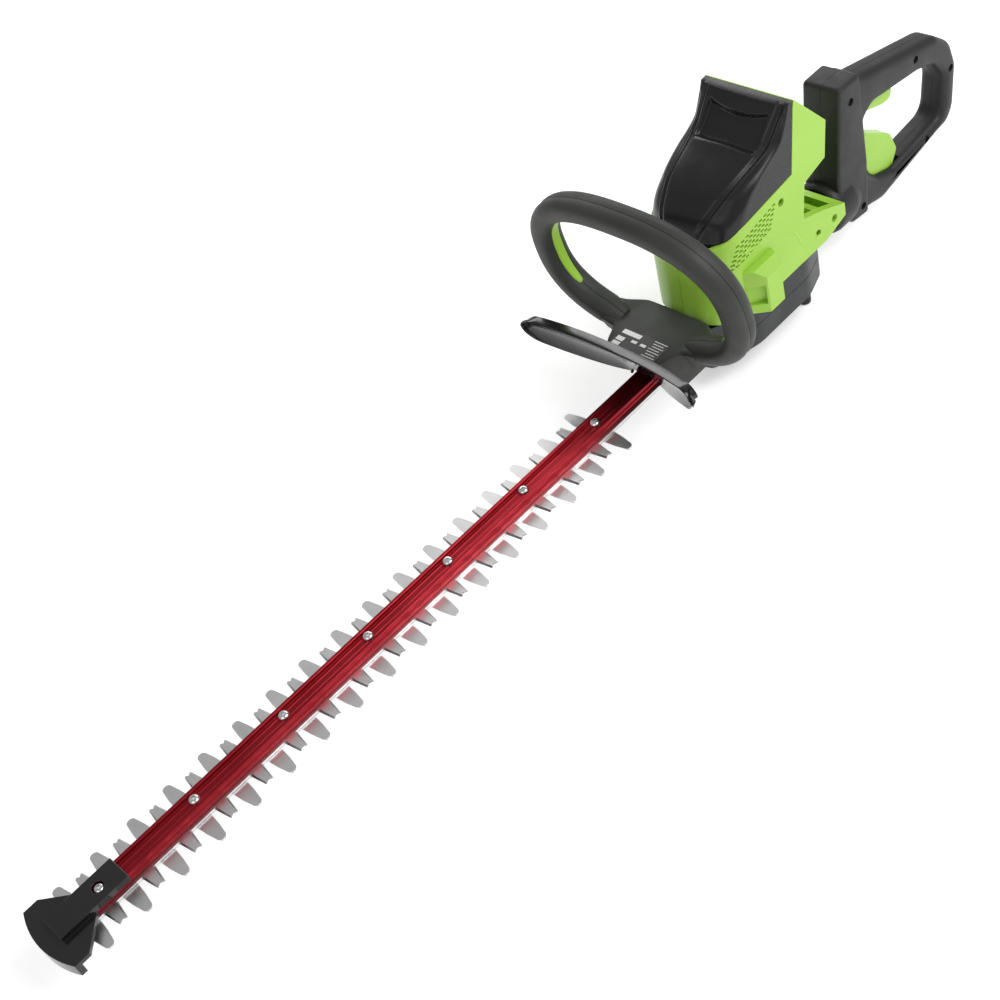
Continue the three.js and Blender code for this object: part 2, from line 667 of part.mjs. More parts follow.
function motorFan() {
  const z0 = MOTOR_Z + MOTOR_HEIGHT + 3;
  const bore = MOTOR_SHAFT_RADIUS + GAP;
  const hub = turnedZ([
    [bore, z0],
    [7, z0],
    [7, z0 + 6],
    [0, z0 + 6],
    [0, z0 + 4],
    [bore, z0 + 4],
    [bore, z0],
  ], MOTOR_AXIS_X, 0, 24);
  const vanes = Array.from({ length: 7 }, (_, i) => {
    const geometry = new THREE.BoxGeometry(MOTOR_RADIUS - 10, 1.6, 5.5);
    geometry.translate((MOTOR_RADIUS - 10) / 2 + 5, 0, z0 + 3.2);
    geometry.rotateZ((i * 2 * Math.PI) / 7);
    geometry.translate(MOTOR_AXIS_X, 0, 0);
    return solidOf(geometry);
  });
  return union(hub, ...vanes);
}

// ---------------------------------------------------------------- housing, cover and battery bay
// height, nose tip and shoulder of the body's plan at each level
const BODY_LEVELS = [
  [BODY_BOTTOM, -694, -731],
  [100, -697, -731],
  [128, -708, -743],
  [147, -732, -765],
  [161, -775, -797],
  [BODY_TOP, -806, -810],
];

// side view of the body, from the tower's crest round to the belly
const BODY_SIDE = [
  [-660, BODY_BOTTOM],
  [-660, BODY_TOP],
  [TOWER_FRONT, BODY_TOP],
  [-853, 147],
  [-847, 113],
  [-817, 106],
  [-811, 72],
  [-840, 62],
  [WING_END, 50],
  [WING_END, 37],
  [-838, BODY_BOTTOM],
];

function bodyRing([z, nose, shoulder], wall) {
  const half = BODY_HALF_WIDTH - wall;
  const depth = nose - wall - shoulder;
  const steps = 14;
  const front = Array.from({ length: steps + 1 }, (_, i) => {
    const angle = THREE.MathUtils.degToRad(90 - (i * 180) / steps);
    const sharpness = 0.85;
    const x = shoulder + depth * Math.cos(angle) ** sharpness;
    const y = half * Math.sign(Math.sin(angle)) * Math.abs(Math.sin(angle)) ** sharpness;
    return [i % steps === 0 ? shoulder : x, y, z];
  });
  return [[WING_END - 10, half, z], ...front, [WING_END - 10, -half, z]];
}

function bodySolid(wall) {
  const first = BODY_LEVELS[0];
  const last = BODY_LEVELS[BODY_LEVELS.length - 1];
  const levels = [
    [first[0] + wall, first[1], first[2]],
    ...BODY_LEVELS.slice(1, -1),
    [last[0] - wall, last[1], last[2]],
  ];
  const side = wall > 0 ? inset(BODY_SIDE, wall) : BODY_SIDE;
  return loft(levels.map((level) => bodyRing(level, wall))).intersect(prismY(side, -60, 60));
}

// a box on the bay's own axes: u climbs the tower's slanted rear face, w points out of it
function bayBlock(u0, u1, v0, v1, w0, w1) {
  const [footX, footZ] = BAY_FACE_FOOT;
  const geometry = new THREE.BoxGeometry(u1 - u0, v1 - v0, w1 - w0);
  geometry.translate((u0 + u1) / 2, (v0 + v1) / 2, (w0 + w1) / 2);
  geometry.rotateY(-Math.atan2(BODY_TOP - footZ, TOWER_FRONT - footX));
  geometry.translate((TOWER_FRONT + footX) / 2, 0, (BODY_TOP + footZ) / 2);
  return solidOf(geometry);
}

function bayBox(u0, u1, v, w0, w1) {
  return bayBlock(u0, u1, -v, v, w0, w1);
}

// the cover's lower edge, seen from the side, lowered by a gap
function coverRegion(gap) {
  return prismY([
    [TOWER_FRONT - 4 - gap, BODY_TOP + 20],
    [TOWER_FRONT + 3 - gap, 184],
    [-802 - gap, 125 - gap],
    [-730, 117 - gap],
    [-702, 105 - gap],
    [-640, 96 - gap],
    [-640, BODY_TOP + 20],
  ], -60, 60);
}

function lowerFlankBump(side) {
  const plan = [[-716, 34], [-724, 44], [-738, 61], [-757, 61], [-766, 44], [-766, 34]];
  const outline = plan.map(([x, y]) => [x, side * y]);
  const block = prismZ(outline, BODY_BOTTOM, 74);
  const skirt = prismX([[side * 70, 74], [side * 70, 58], [side * 40, 86]], -780, -700);
  const recess = solidOf(new THREE.BoxGeometry(8, 17, 20)
    .rotateZ(side * THREE.MathUtils.degToRad(50))
    .translate(-731, side * 53, 48));
  return cut(block, skirt, recess);
}

function ventSlots(side) {
  const slots = [];
  const [y0, y1] = side > 0 ? [38, 52] : [-52, -38];
  for (let row = 0; row < VENT_ROWS; row += 1) {
    for (let column = 0; column < VENT_COLUMNS; column += 1) {
      const x = -777 + column * 6.2 + row * 1.9;
      const z = 111 - row * 3.9 - column * 1.1;
      slots.push(box(x, x + VENT_LENGTH, y0, y1, z, z + VENT_HEIGHT));
    }
  }
  return slots;
}

const FLANK_SCREWS = [[-784.5, 108], [-828, 44], [-852, 44]];

function screwBoss(x, z, side, wallY) {
  return cylinderY(4.2, side > 0 ? GAP / 2 : -wallY, side > 0 ? wallY : -GAP / 2, x, z, 8);
}

function screwBore(x, z, headY) {
  const bore = cylinderY(SCREW_HOLE_RADIUS + GAP, -SCREW_BITE - GAP, headY + 6, x, z, 8);
  return union(bore, cylinderY(SCREW_SEAT_RADIUS, headY, headY + 30, x, z, 10));
}

function housingScrew(x, z, headY) {
  const seat = headY + GAP;
  return turnedY([
    [0, -SCREW_BITE],
    [SCREW_HOLE_RADIUS, -SCREW_BITE],
    [SCREW_HOLE_RADIUS, seat],
    [SCREW_SEAT_RADIUS - GAP, seat],
    [SCREW_SEAT_RADIUS - GAP, seat + 1.2],
    [1.8, seat + 2.2],
    [0, seat + 2.2],
  ], x, z, 1, 8);
}

function cuff() {
  const wall = cylinderX(CUFF_RADIUS, CUFF_REAR, CUFF_FRONT, 0, HANDLE_AXIS_Z, 20);
  const web = box(CUFF_REAR, CUFF_FRONT, -10, 10, HANDLE_AXIS_Z, BODY_BOTTOM + 10);
  const neckHole = cylinderX(NECK_RADIUS + GAP, -870, -840, 0, HANDLE_AXIS_Z, 20);
  const flangeRoom = cylinderX(FLANGE_RADIUS + GAP, -858.2, -840, 0, HANDLE_AXIS_Z, 20);
  return cut(union(wall, web), neckHole, flangeRoom);
}

function housingHalf(side) {
  const shell = cut(bodySolid(0), bodySolid(BODY_WALL));
  const half = box(-900, -600, side > 0 ? GAP / 2 : -80, side > 0 ? 80 : -GAP / 2, -60, BODY_TOP + 40);
  const bayMouth = bayBox(-24.3, 24.3, BAY_HALF_WIDTH + 1.3, -12, 30);
  const deckOpening = box(WING_END - 20, -816, -BODY_HALF_WIDTH + 7, BODY_HALF_WIDTH - 7, 50, 100);
  const motorHole = cylinderZ(PITCH_RADIUS_PINION + 3, MOTOR_AXIS_X, 0, 0, BODY_BOTTOM + 5, 24);
  const bosses = FLANK_SCREWS.map(([x, z]) => screwBoss(x, z, side, FLANK_SEAT_Y + 4));
  const bores = FLANK_SCREWS.map(([x, z]) => screwBore(x, z, FLANK_SEAT_Y));
  const body = cut(shell, coverRegion(GAP), bayMouth, deckOpening, motorHole, ...ventSlots(side));
  const joined = union(body, lowerFlankBump(side), cuff(), ...bosses).intersect(half);
  return cut(joined, ...bores);
}

function frontCover() {
  const shell = cut(bodySolid(0), bodySolid(BODY_WALL)).intersect(coverRegion(0));
  const bayMouth = bayBox(-24.3, 40, BAY_HALF_WIDTH + 1.3, -12, 30);
  return cut(shell, bayMouth);
}

function batteryBay() {
  const wall = 2;
  const tray = cut(
    bayBox(-24, 24, BAY_HALF_WIDTH + 1, -BAY_DEPTH, -3),
    bayBox(-24 + wall, 24 - wall, BAY_HALF_WIDTH + 1 - wall, -BAY_DEPTH + wall, 10),
  );
  const rails = bayBox(-4, 1, BAY_HALF_WIDTH + 0.5, -BAY_DEPTH + 1, -10);
  const between = bayBox(-5, 2, BAY_HALF_WIDTH - 5, -BAY_DEPTH + wall, 0);
  return union(tray, cut(rails, between));
}

function terminalBlock() {
  const base = bayBox(4, 18, 22, -BAY_DEPTH + 2 + GAP, -BAY_DEPTH + 9);
  const blades = [-15, -5, 5, 15].map((v) => (
    bayBlock(6.5, 15.5, v - 0.6, v + 0.6, -BAY_DEPTH + 7, -BAY_DEPTH + 21)
  ));
  return union(base, ...blades);
}

function controlBoard() {
  const board = box(-741, -739, -28, 28, 40, 92);
  const parts = [[-20, 50, 8], [0, 52, 11], [18, 48, 7], [-12, 74, 6], [10, 76, 9]];
  const packages = parts.map(([y, z, size]) => (
    box(-740, -739 + size, y - size / 2, y + size / 2, z, z + size)
  ));
  return union(board, ...packages);
}

// ---------------------------------------------------------------- rear handle
const HANDLE_OUTER = [
  [-914, -14],
  [-945, -20],
  [-966, -25],
  [-1060, -9],
  [-1077, -8],
  [-1088, 5],
  [HANDLE_END, 50],
  [-1087, 76],
  [-1064, 95],
  [-945, 124],
  [-938, 134],
  [-907, 134],
  [-895, 47],
  [-895, 0],
];

const HANDLE_OPENING = [
  [-962, 5],
  [-985, -2],
  [-1062, 5],
  [-1069, 12],
  [-1075, 46],
  [-1060, 66],
  [-1035, 75],
  [-962, 86],
  [-945, 76],
  [-945, 22],
];

const TRIGGER_X = [-1000, -958];
// side position of each screw, with the depth of its seat
const HANDLE_SCREWS = [[-922, 114, 16], [-1028, 92, 11], [-1083, 50, 11], [-1040, -4, 11], [-928, -4, 11]];
const TRIGGER_PIVOT = [-962, 96];
const LEVER_PIVOT = [-978, -12];

function handleBody(wall) {
  const grip = GRIP_HALF_WIDTH - wall;
  const column = COLUMN_HALF_WIDTH - wall;
  const outer = wall > 0 ? inset(HANDLE_OUTER, wall) : HANDLE_OUTER;
  const opening = wall > 0 ? inset(HANDLE_OPENING, -wall) : HANDLE_OPENING;
  const ring = prismY(rounded(outer, 7), -grip, grip);
  const columnRoom = box(-938 + wall, -880, -60, 60, -60, 160);
  const front = prismY(rounded(outer, 7), -column, column).intersect(columnRoom);
  const barrel = loft([
    [-925 + wall, 22],
    [-912, HANDLE_BARREL_RADIUS],
    [HANDLE_FRONT - 4, HANDLE_BARREL_RADIUS],
    [HANDLE_FRONT - wall, HANDLE_BARREL_RADIUS - 3],
  ].map(([x, radius]) => arcPoints(0, HANDLE_AXIS_Z, radius - wall, 0, 345, 23).map(([y, z]) => [x, y, z])));
  return cut(union(ring, front, barrel), prismY(rounded(opening, 9), -60, 60));
}

function neck() {
  const tube = cylinderX(NECK_RADIUS, HANDLE_FRONT - 6, -855, 0, HANDLE_AXIS_Z, 20);
  const flange = cylinderX(FLANGE_RADIUS, -857.9, -853, 0, HANDLE_AXIS_Z, 20);
  return union(tube, flange);
}

function rearHandleHalf(side) {
  const half = box(-1200, -800, side > 0 ? GAP / 2 : -60, side > 0 ? 60 : -GAP / 2, -60, 200);
  const shell = union(cut(handleBody(0), handleBody(HANDLE_WALL)), neck());
  const cableWay = cylinderX(NECK_RADIUS - 5, -900, -840, 0, HANDLE_AXIS_Z, 20);
  const triggerRoom = box(TRIGGER_X[0] - 4, TRIGGER_X[1] + 1, -8, 8, 60, 102);
  const leverRoom = box(-1003, -946, -8.5, 8.5, -19.9, 30);
  const bosses = HANDLE_SCREWS.map(([x, z]) => screwBoss(x, z, side, 30).intersect(handleBody(0)));
  const walls = union(shell, ...bosses);
  const bores = HANDLE_SCREWS.map(([x, z, seatY]) => screwBore(x, z, seatY));
  const open = cut(walls, cableWay, triggerRoom, leverRoom, ...bores).intersect(half);
  const [pinStart, pinEnd] = side > 0 ? [GAP / 2, GRIP_HALF_WIDTH - 1] : [1 - GRIP_HALF_WIDTH, -GAP / 2];
  const pins = [TRIGGER_PIVOT, LEVER_PIVOT].map(([x, z]) => cylinderY(1.8, pinStart, pinEnd, x, z, 12));
  return union(open, ...pins);
}

function trigger() {
  const blade = prismY(rounded([
    [-958, 99],
    [-958, 78],
    [-966, 75],
    [-984, 69],
    [-994, 68],
    [-999, 72],
    [-999, 84],
    [-972, 99],
  ], 3, 3), -7, 7);
  const pivotHole = cylinderY(1.8 + GAP, -20, 20, TRIGGER_PIVOT[0], TRIGGER_PIVOT[1], 20);
  return cut(blade, pivotHole);
}

function releaseLever() {
  const wedge = prismY(rounded([
    [-953, 56],
    [-958, 54],
    [-992, 32],
    [-1001, 10],
    [-990, -8],
    [-980, -18],
    [-974, -18],
    [-960, 2],
    [-951.5, 20],
  ], 3, 3), -7.5, 7.5);
  const pivotHole = cylinderY(1.8 + GAP, -20, 20, LEVER_PIVOT[0], LEVER_PIVOT[1], 20);
  return cut(wedge, pivotHole);
}

// snap-action switch inside the grip, behind the trigger
function triggerSwitch() {
  const body = box(-1023, -1008, -5, 5, 85.5, 100);
  const plunger = box(-1008.5, -1005.5, -1.5, 1.5, 89, 93);
  return union(body, plunger);
}

function collarRing() {
  const x0 = HANDLE_FRONT + GAP;
  const x1 = CUFF_REAR - GAP;
  const bore = NECK_RADIUS + GAP;
  const rings = [
    [x0, COLLAR_RADIUS],
    [x0 + 4, COLLAR_RADIUS + 1],
    [x0 + 8, COLLAR_RADIUS - 2],
    [x1 - 6, COLLAR_RADIUS - 2],
    [x1, COLLAR_RADIUS],
  ].map(([x, radius]) => arcPoints(0, HANDLE_AXIS_Z, radius, 0, 345, 23).map(([y, z]) => [x, y, z]));
  return cut(loft(rings), cylinderX(bore, x0 - 1, x1 + 1, 0, HANDLE_AXIS_Z, 20));
}

// ---------------------------------------------------------------- front handle, base and hand guard
const LEAN = THREE.MathUtils.degToRad(LOOP_LEAN);

// a point of the loop's plane: h runs up the plane, d stands off it towards the blade
function loopPoint(y, h, d) {
  return [
    LOOP_BASE_X + h * Math.sin(LEAN) + d * Math.cos(LEAN),
    y,
    LOOP_FOOT_Z + h * Math.cos(LEAN) - d * Math.sin(LEAN),
  ];
}

function loopCentre(angleDegrees) {
  const angle = THREE.MathUtils.degToRad(angleDegrees);
  const squareness = 0.8;
  const c = Math.cos(angle);
  const s = Math.sin(angle);
  const rise = s >= 0 ? 69 : 65;
  return [
    LOOP_HALF_WIDTH * Math.sign(c) * Math.abs(c) ** squareness,
    75 + rise * Math.sign(s) * Math.abs(s) ** squareness,
  ];
}

function loopSection(angleDegrees, depth, width) {
  const [y, h] = loopCentre(angleDegrees);
  const [y1, h1] = loopCentre(angleDegrees + 0.5);
  const length = Math.hypot(y1 - y, h1 - h);
  const outward = [(h1 - h) / length, -(y1 - y) / length];
  const roundness = 0.75;
  return Array.from({ length: 10 }, (_, i) => {
    const angle = (i * Math.PI) / 5 + Math.PI / 10;
    const across = (width / 2) * Math.sign(Math.cos(angle)) * Math.abs(Math.cos(angle)) ** roundness;
    const along = (depth / 2) * Math.sign(Math.sin(angle)) * Math.abs(Math.sin(angle)) ** roundness;
    return loopPoint(y + outward[0] * across, h + outward[1] * across, along);
  });
}

function loopTube(depth, width, overrun) {
  const start = -LOOP_END - overrun;
  const span = 180 + 2 * (LOOP_END + overrun);
  const steps = 20;
  const angles = Array.from({ length: steps + 1 }, (_, i) => start + (span * i) / steps);
  return loft(angles.map((angle) => loopSection(angle, depth, width)));
}

function loopSideBox(d0, d1) {
  const geometry = new THREE.BoxGeometry(d1 - d0, 400, 400);
  geometry.translate((d0 + d1) / 2, 0, 60);
  geometry.rotateY(LEAN);
  geometry.translate(LOOP_BASE_X, 0, LOOP_FOOT_Z);
  return solidOf(geometry);
}

// room for a bar on the loop's inner side, between two heights of its plane
function loopSwitchBlock(side, inner, outer, h0, h1, d) {
  const corners = [[inner, h0], [outer, h0], [outer, h1], [inner, h1]];
  const ring = (offset) => corners.map(([y, h]) => loopPoint(side * y, h, offset));
  return loft([ring(-d), ring(d)]);
}

// places round the loop, in degrees from the left limb, where a screw joins its two halves
const LOOP_SCREWS = [-52, 60, 120, 232];

// a turned solid through the tube: the profile is a list of (radius, distance in front of the plane) pairs
function loopTurned(angleDegrees, profile) {
  const points = profile.map(([radius, d]) => new THREE.Vector2(radius, d));
  const geometry = new THREE.LatheGeometry(points, 8);
  geometry.rotateZ(-Math.PI / 2);
  geometry.rotateY(LEAN);
  geometry.translate(...loopPoint(...loopCentre(angleDegrees), 0));
  return solidOf(geometry);
}

const LOOP_SEAT = -LOOP_TUBE_DEPTH / 2 + 3;

function loopScrew(angleDegrees) {
  return loopTurned(angleDegrees, [
    [0, LOOP_SEAT - 2],
    [1.8, LOOP_SEAT - 2],
    [SCREW_SEAT_RADIUS - GAP, LOOP_SEAT - 1.2],
    [SCREW_SEAT_RADIUS - GAP, LOOP_SEAT - GAP],
    [SCREW_HOLE_RADIUS, LOOP_SEAT - GAP],
    [SCREW_HOLE_RADIUS, SCREW_BITE],
    [0, SCREW_BITE],
  ]);
}

function loopBore(angleDegrees) {
  return loopTurned(angleDegrees, [
    [0, -30],
    [SCREW_SEAT_RADIUS, -30],
    [SCREW_SEAT_RADIUS, LOOP_SEAT],
    [SCREW_HOLE_RADIUS + GAP, LOOP_SEAT],
    [SCREW_HOLE_RADIUS + GAP, SCREW_BITE + GAP],
    [0, SCREW_BITE + GAP],
  ]);
}

function loopBoss(angleDegrees) {
  return loopTurned(angleDegrees, [[0, -12.5], [4.2, -12.5], [4.2, 12.5], [0, 12.5]]);
}

function frontHandleHalf(side) {
  const wall = 2.5;
  const tube = cut(
    loopTube(LOOP_TUBE_DEPTH, LOOP_TUBE_WIDTH, 0),
    loopTube(LOOP_TUBE_DEPTH - 2 * wall, LOOP_TUBE_WIDTH - 2 * wall, 3),
  );
  const region = side > 0 ? loopSideBox(GAP / 2, 60) : loopSideBox(-60, -GAP / 2);
  const rooms = [-1, 1].map((limb) => loopSwitchBlock(limb, 82, 103, 41, 109, 5.3));
  const half = union(tube, ...LOOP_SCREWS.map(loopBoss)).intersect(region);
  return cut(half, ...rooms, ...LOOP_SCREWS.map(loopBore));
}

function frontSwitch(side) {
  return loopSwitchBlock(side, 86, 95, 42, 108, 5);
}

function handleBase() {
  const plan = [[-626, 30], [-648, 30], [-655, 50], [-688, 50]];
  const block = prismZ(rounded([...plan, ...mirrorY(plan)], 3, 3), 18, BASE_TOP);
  const skirtPlan = [[-622, 32], [-688, 32]];
  const skirts = prismZ([...skirtPlan, ...mirrorY(skirtPlan)], 0, BASE_TOP);
  const front = prismY([[-646, -10], [-616, 60], [-590, 60], [-590, -10]], -80, 80);
  const channel = box(-700, -600, -25, 25, -10, 34);
  const shoulderPlan = [[-700, 46], [-662, 46], [-655, 28], [-700, 28]];
  const shoulderRooms = [1, -1].map((side) => prismZ(shoulderPlan.map(([x, y]) => [x, side * y]), 16, 38));
  const sockets = loopTube(LOOP_TUBE_DEPTH + 2 * GAP, LOOP_TUBE_WIDTH + 2 * GAP, 0);
  const labelRecess = box(-648, -623, -26, 26, BASE_TOP - 1, BASE_TOP + 5);
  return cut(union(block, skirts), front, channel, ...shoulderRooms, sockets, labelRecess);
}

function ratingPlate() {
  return box(-647.5, -624, -25.5, 25.5, BASE_TOP - 1 + GAP, BASE_TOP + 0.4);
}

// the guard's sheet, as seen from above: a shallow hollow that faces the blade
function guardStation(y) {
  const share = Math.abs(y) / GUARD_HALF_WIDTH;
  const top = [-604 + 14 * share ** 2, 62 + 8 * share ** 1.5];
  const flare = Math.max(0, (Math.abs(y) - 16) / (GUARD_HALF_WIDTH - 16));
  const bottom = [-632 + 40 * flare, 11 + 37 * flare ** 1.25];
  return { top, bottom };
}

function handGuard() {
  const stations = 25;
  const rings = Array.from({ length: stations }, (_, i) => {
    const y = -GUARD_HALF_WIDTH + (2 * GUARD_HALF_WIDTH * i) / (stations - 1);
    const { top, bottom } = guardStation(y);
    const bulge = [(top[0] + bottom[0]) / 2 - 2.5, (top[1] + bottom[1]) / 2 + 1];
    return [
      [top[0], y, top[1]],
      [bulge[0], y, bulge[1]],
      [bottom[0], y, bottom[1]],
      [bottom[0] - GUARD_THICK, y, bottom[1]],
      [bulge[0] - GUARD_THICK, y, bulge[1]],
      [top[0] - GUARD_THICK, y, top[1] - 4],
      [top[0] - GUARD_RIM, y, top[1] - 3],
      [top[0] - GUARD_RIM, y, top[1] - 0.5],
    ];
  });
  const barNotch = box(-660, -600, -BAR_HALF_WIDTH - 1.5, BAR_HALF_WIDTH + 1.5, -20, BAR_TOP + 5);
  return cut(loft(rings), barNotch);
}

// ---------------------------------------------------------------- the trimmer
const trimmer = new THREE.Group();

function addPart(name, solid, material) {
  const mesh = new THREE.Mesh(geometryOf(solid), material);
  mesh.name = name;
  trimmer.add(mesh);
}

addPart('guide_bar', guideBar(), RED_ALUMINIUM);
addPart('upper_blade', blade(shortTooth, -TOOTH_PITCH / 2, LONG_TEETH - 1, UPPER_BLADE_Z), BLADE_STEEL);
addPart('lower_blade', blade(longTooth, 0, LONG_TEETH, LOWER_BLADE_Z), BLADE_STEEL);
addPart('lower_guide_strip', lowerStrip(), BLADE_STEEL);
addPart('tip_guard', tipGuard(), BLACK_PLASTIC);
for (let i = 0; i < SCREW_COUNT; i += 1) {
  addPart(`bar_screw_${i + 1}`, barScrew(i), BRIGHT_STEEL);
}

addPart('gearbox_lower', gearboxLower(), CAST_GREY);
addPart('gearbox_upper', gearboxUpper(), CAST_GREY);
addPart('foot_peg_left', footPeg(1), BLACK_PLASTIC);
addPart('foot_peg_right', footPeg(-1), BLACK_PLASTIC);
addPart('drive_gear', driveGear(), BRIGHT_STEEL);
addPart('upper_blade_yoke', bladeYoke(1), BLADE_STEEL);
addPart('lower_blade_yoke', bladeYoke(-1), BLADE_STEEL);
addPart('bearing_top', bearing(UPPER_BEARING_Z), BRIGHT_STEEL);
addPart('bearing_bottom', bearing(LOWER_BEARING_Z), BRIGHT_STEEL);
addPart('motor_stator', motorStator(), CAST_GREY);
addPart('motor_rotor', motorRotor(), COPPER);
addPart('motor_pinion', motorPinion(), BRIGHT_STEEL);
addPart('motor_fan', motorFan(), BLACK_PLASTIC);

addPart('housing_left', housingHalf(1), GREEN_PLASTIC);
addPart('housing_right', housingHalf(-1), GREEN_PLASTIC);
addPart('front_cover', frontCover(), GLOSS_BLACK);
addPart('battery_bay', batteryBay(), BLACK_PLASTIC);
addPart('terminal_block', terminalBlock(), BRIGHT_STEEL);
addPart('control_board', controlBoard(), BOARD_GREEN);
FLANK_SCREWS.forEach(([x, z], i) => {
  addPart(`housing_screw_${i + 1}`, housingScrew(x, z, FLANK_SEAT_Y), BRIGHT_STEEL);
});

addPart('collar_ring', collarRing(), GLOSS_BLACK);
addPart('rear_handle_left', rearHandleHalf(1), HANDLE_PLASTIC);
addPart('rear_handle_right', rearHandleHalf(-1), HANDLE_PLASTIC);
addPart('trigger', trigger(), GREEN_PLASTIC);
addPart('trigger_switch', triggerSwitch(), BLACK_PLASTIC);
addPart('release_lever', releaseLever(), GREEN_PLASTIC);
HANDLE_SCREWS.forEach(([x, z, seatY], i) => {
  addPart(`rear_handle_screw_${i + 1}`, housingScrew(x, z, seatY), BRIGHT_STEEL);
});

addPart('front_handle_front', frontHandleHalf(1), LOOP_PLASTIC);
addPart('front_handle_rear', frontHandleHalf(-1), LOOP_PLASTIC);
addPart('front_switch_left', frontSwitch(1), GREEN_PLASTIC);
addPart('front_switch_right', frontSwitch(-1), GREEN_PLASTIC);
LOOP_SCREWS.forEach((angle, i) => {
  addPart(`loop_screw_${i + 1}`, loopScrew(angle), BRIGHT_STEEL);
});
addPart('handle_base', handleBase(), LOOP_PLASTIC);
addPart('rating_plate', ratingPlate(), LABEL_SILVER);
addPart('hand_guard', handGuard(), GLOSS_BLACK);

// the origin goes to the middle of the trimmer's box, on the surface that it stands on
const extent = new THREE.Box3().setFromObject(trimmer);
trimmer.position.set(-(extent.min.x + extent.max.x) / 2, 0, -extent.min.z);

const model = new THREE.Group();
model.add(trimmer);

export default model;
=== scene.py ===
# %% [markdown]
# # A cordless hedge trimmer, from its CAD frame to a finished model
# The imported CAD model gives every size, place and joint. This script loads it as a frame that never
# changes. It then makes the surfaces that a person sees: moulded plastic, anodised aluminium and
# ground steel. Each cell makes one piece or one finish, so the cells can be read and tried in order.

# %% Load the frame
import json
import math

import bmesh
import bpy
import numpy as np
from mathutils import Matrix, Vector


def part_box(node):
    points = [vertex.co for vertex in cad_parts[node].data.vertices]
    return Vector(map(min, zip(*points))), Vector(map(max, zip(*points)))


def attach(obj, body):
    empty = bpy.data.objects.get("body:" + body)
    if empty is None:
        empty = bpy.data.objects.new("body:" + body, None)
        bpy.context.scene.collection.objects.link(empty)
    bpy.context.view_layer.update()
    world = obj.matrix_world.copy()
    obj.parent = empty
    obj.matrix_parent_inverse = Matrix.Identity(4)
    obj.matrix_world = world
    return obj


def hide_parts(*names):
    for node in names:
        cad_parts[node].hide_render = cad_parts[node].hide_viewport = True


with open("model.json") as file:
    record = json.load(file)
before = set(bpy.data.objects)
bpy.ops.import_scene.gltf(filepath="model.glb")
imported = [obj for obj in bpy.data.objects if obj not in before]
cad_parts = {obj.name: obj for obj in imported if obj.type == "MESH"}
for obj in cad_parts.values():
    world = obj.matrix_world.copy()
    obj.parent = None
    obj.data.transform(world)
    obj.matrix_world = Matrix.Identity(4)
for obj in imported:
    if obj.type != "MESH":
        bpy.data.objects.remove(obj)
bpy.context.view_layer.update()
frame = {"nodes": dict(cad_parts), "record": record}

# %% [markdown]
# ## One handy origin
# The trimmer is easiest to think about from its blade. So the script measures from the plane between
# the two blades, at the first long tooth, in millimetres. Blender and the frame use metres, so one
# small function turns a workshop measurement into a point of the frame.

# %% Measure from the blade
MM = 0.001
GAP = 0.3
SCREW_TO_TIP = 20.8
first_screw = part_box("bar_screw_1")
blade_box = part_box("lower_blade")
origin = Vector((
    (first_screw[0].x + first_screw[1].x) / 2 + SCREW_TO_TIP * MM,
    0,
    blade_box[1].z + GAP / 2 * MM,
))


def at(x, y, z):
    """A point given in millimetres from the blade's own origin, as a point of the frame."""
    return origin + Vector((x, y, z)) * MM


print("blade origin in the frame:", [round(v, 4) for v in origin])

# %% [markdown]
# ## The camera
# The view looks down the length of the tool from in front of its left side, with the blade coming
# towards the lower left corner. A camera in Blender looks along its own -Z with +Y up, so its
# rotation is simply a matrix whose columns are the directions of right, up and back.

# %% Place the camera
camera_data = bpy.data.cameras.new("camera")
camera_data.lens = 56.88
camera = bpy.data.objects.new("camera", camera_data)
bpy.context.scene.collection.objects.link(camera)
view_right = Vector((-0.674, 0.702, -0.229)).normalized()
view_up = Vector((-0.631, -0.386, 0.673))
view_up = (view_up - view_right * view_up.dot(view_right)).normalized()
view_back = view_right.cross(view_up)
turn = Matrix((view_right, view_up, view_back)).transposed()
camera_place = at(44.87, 773.16, 930.08)
camera.matrix_world = Matrix.Translation(camera_place) @ turn.to_4x4()
bpy.context.scene.camera = camera
print("camera stands at", [round(v, 3) for v in camera.location])

# %% [markdown]
# ## Floor and light
# Product pictures use a pale sweep of paper and very large, soft lights. Glossy plastic shows the
# shape of a lamp in its reflections, so the lamps here are wide panels. One is high on the left of
# the tool, a weaker one fills the front, and a strip behind draws a rim along the top edges.

# %% Build the floor
def new_object(name, mesh):
    obj = bpy.data.objects.new(name, mesh)
    bpy.context.scene.collection.objects.link(obj)
    return obj


floor_mesh = bpy.data.meshes.new("floor")
floor_mesh.from_pydata([(-6, -6, 0), (6, -6, 0), (6, 6, 0), (-6, 6, 0)], [], [(0, 1, 2, 3)])
floor = new_object("floor", floor_mesh)
floor_finish = bpy.data.materials.new("pale_paper")
floor_finish.use_nodes = True
floor_shader = floor_finish.node_tree.nodes["Principled BSDF"]
floor_shader.inputs["Base Color"].default_value = (0.9, 0.9, 0.9, 1)
floor_shader.inputs["Emission Color"].default_value = (1, 1, 1, 1)
floor_shader.inputs["Emission Strength"].default_value = 0.42
floor_shader.inputs["Roughness"].default_value = 0.9
floor_mesh.materials.append(floor_finish)


# %% Hang the lamps
def panel_light(name, place, target, size, power):
    """A soft rectangular lamp that points at a target."""
    data = bpy.data.lights.new(name, "AREA")
    data.shape = "RECTANGLE"
    data.size, data.size_y = size
    data.energy = power
    lamp = bpy.data.objects.new(name, data)
    bpy.context.scene.collection.objects.link(lamp)
    lamp.location = place
    lamp.rotation_euler = (Vector(target) - Vector(place)).to_track_quat("-Z", "Y").to_euler()
    return lamp


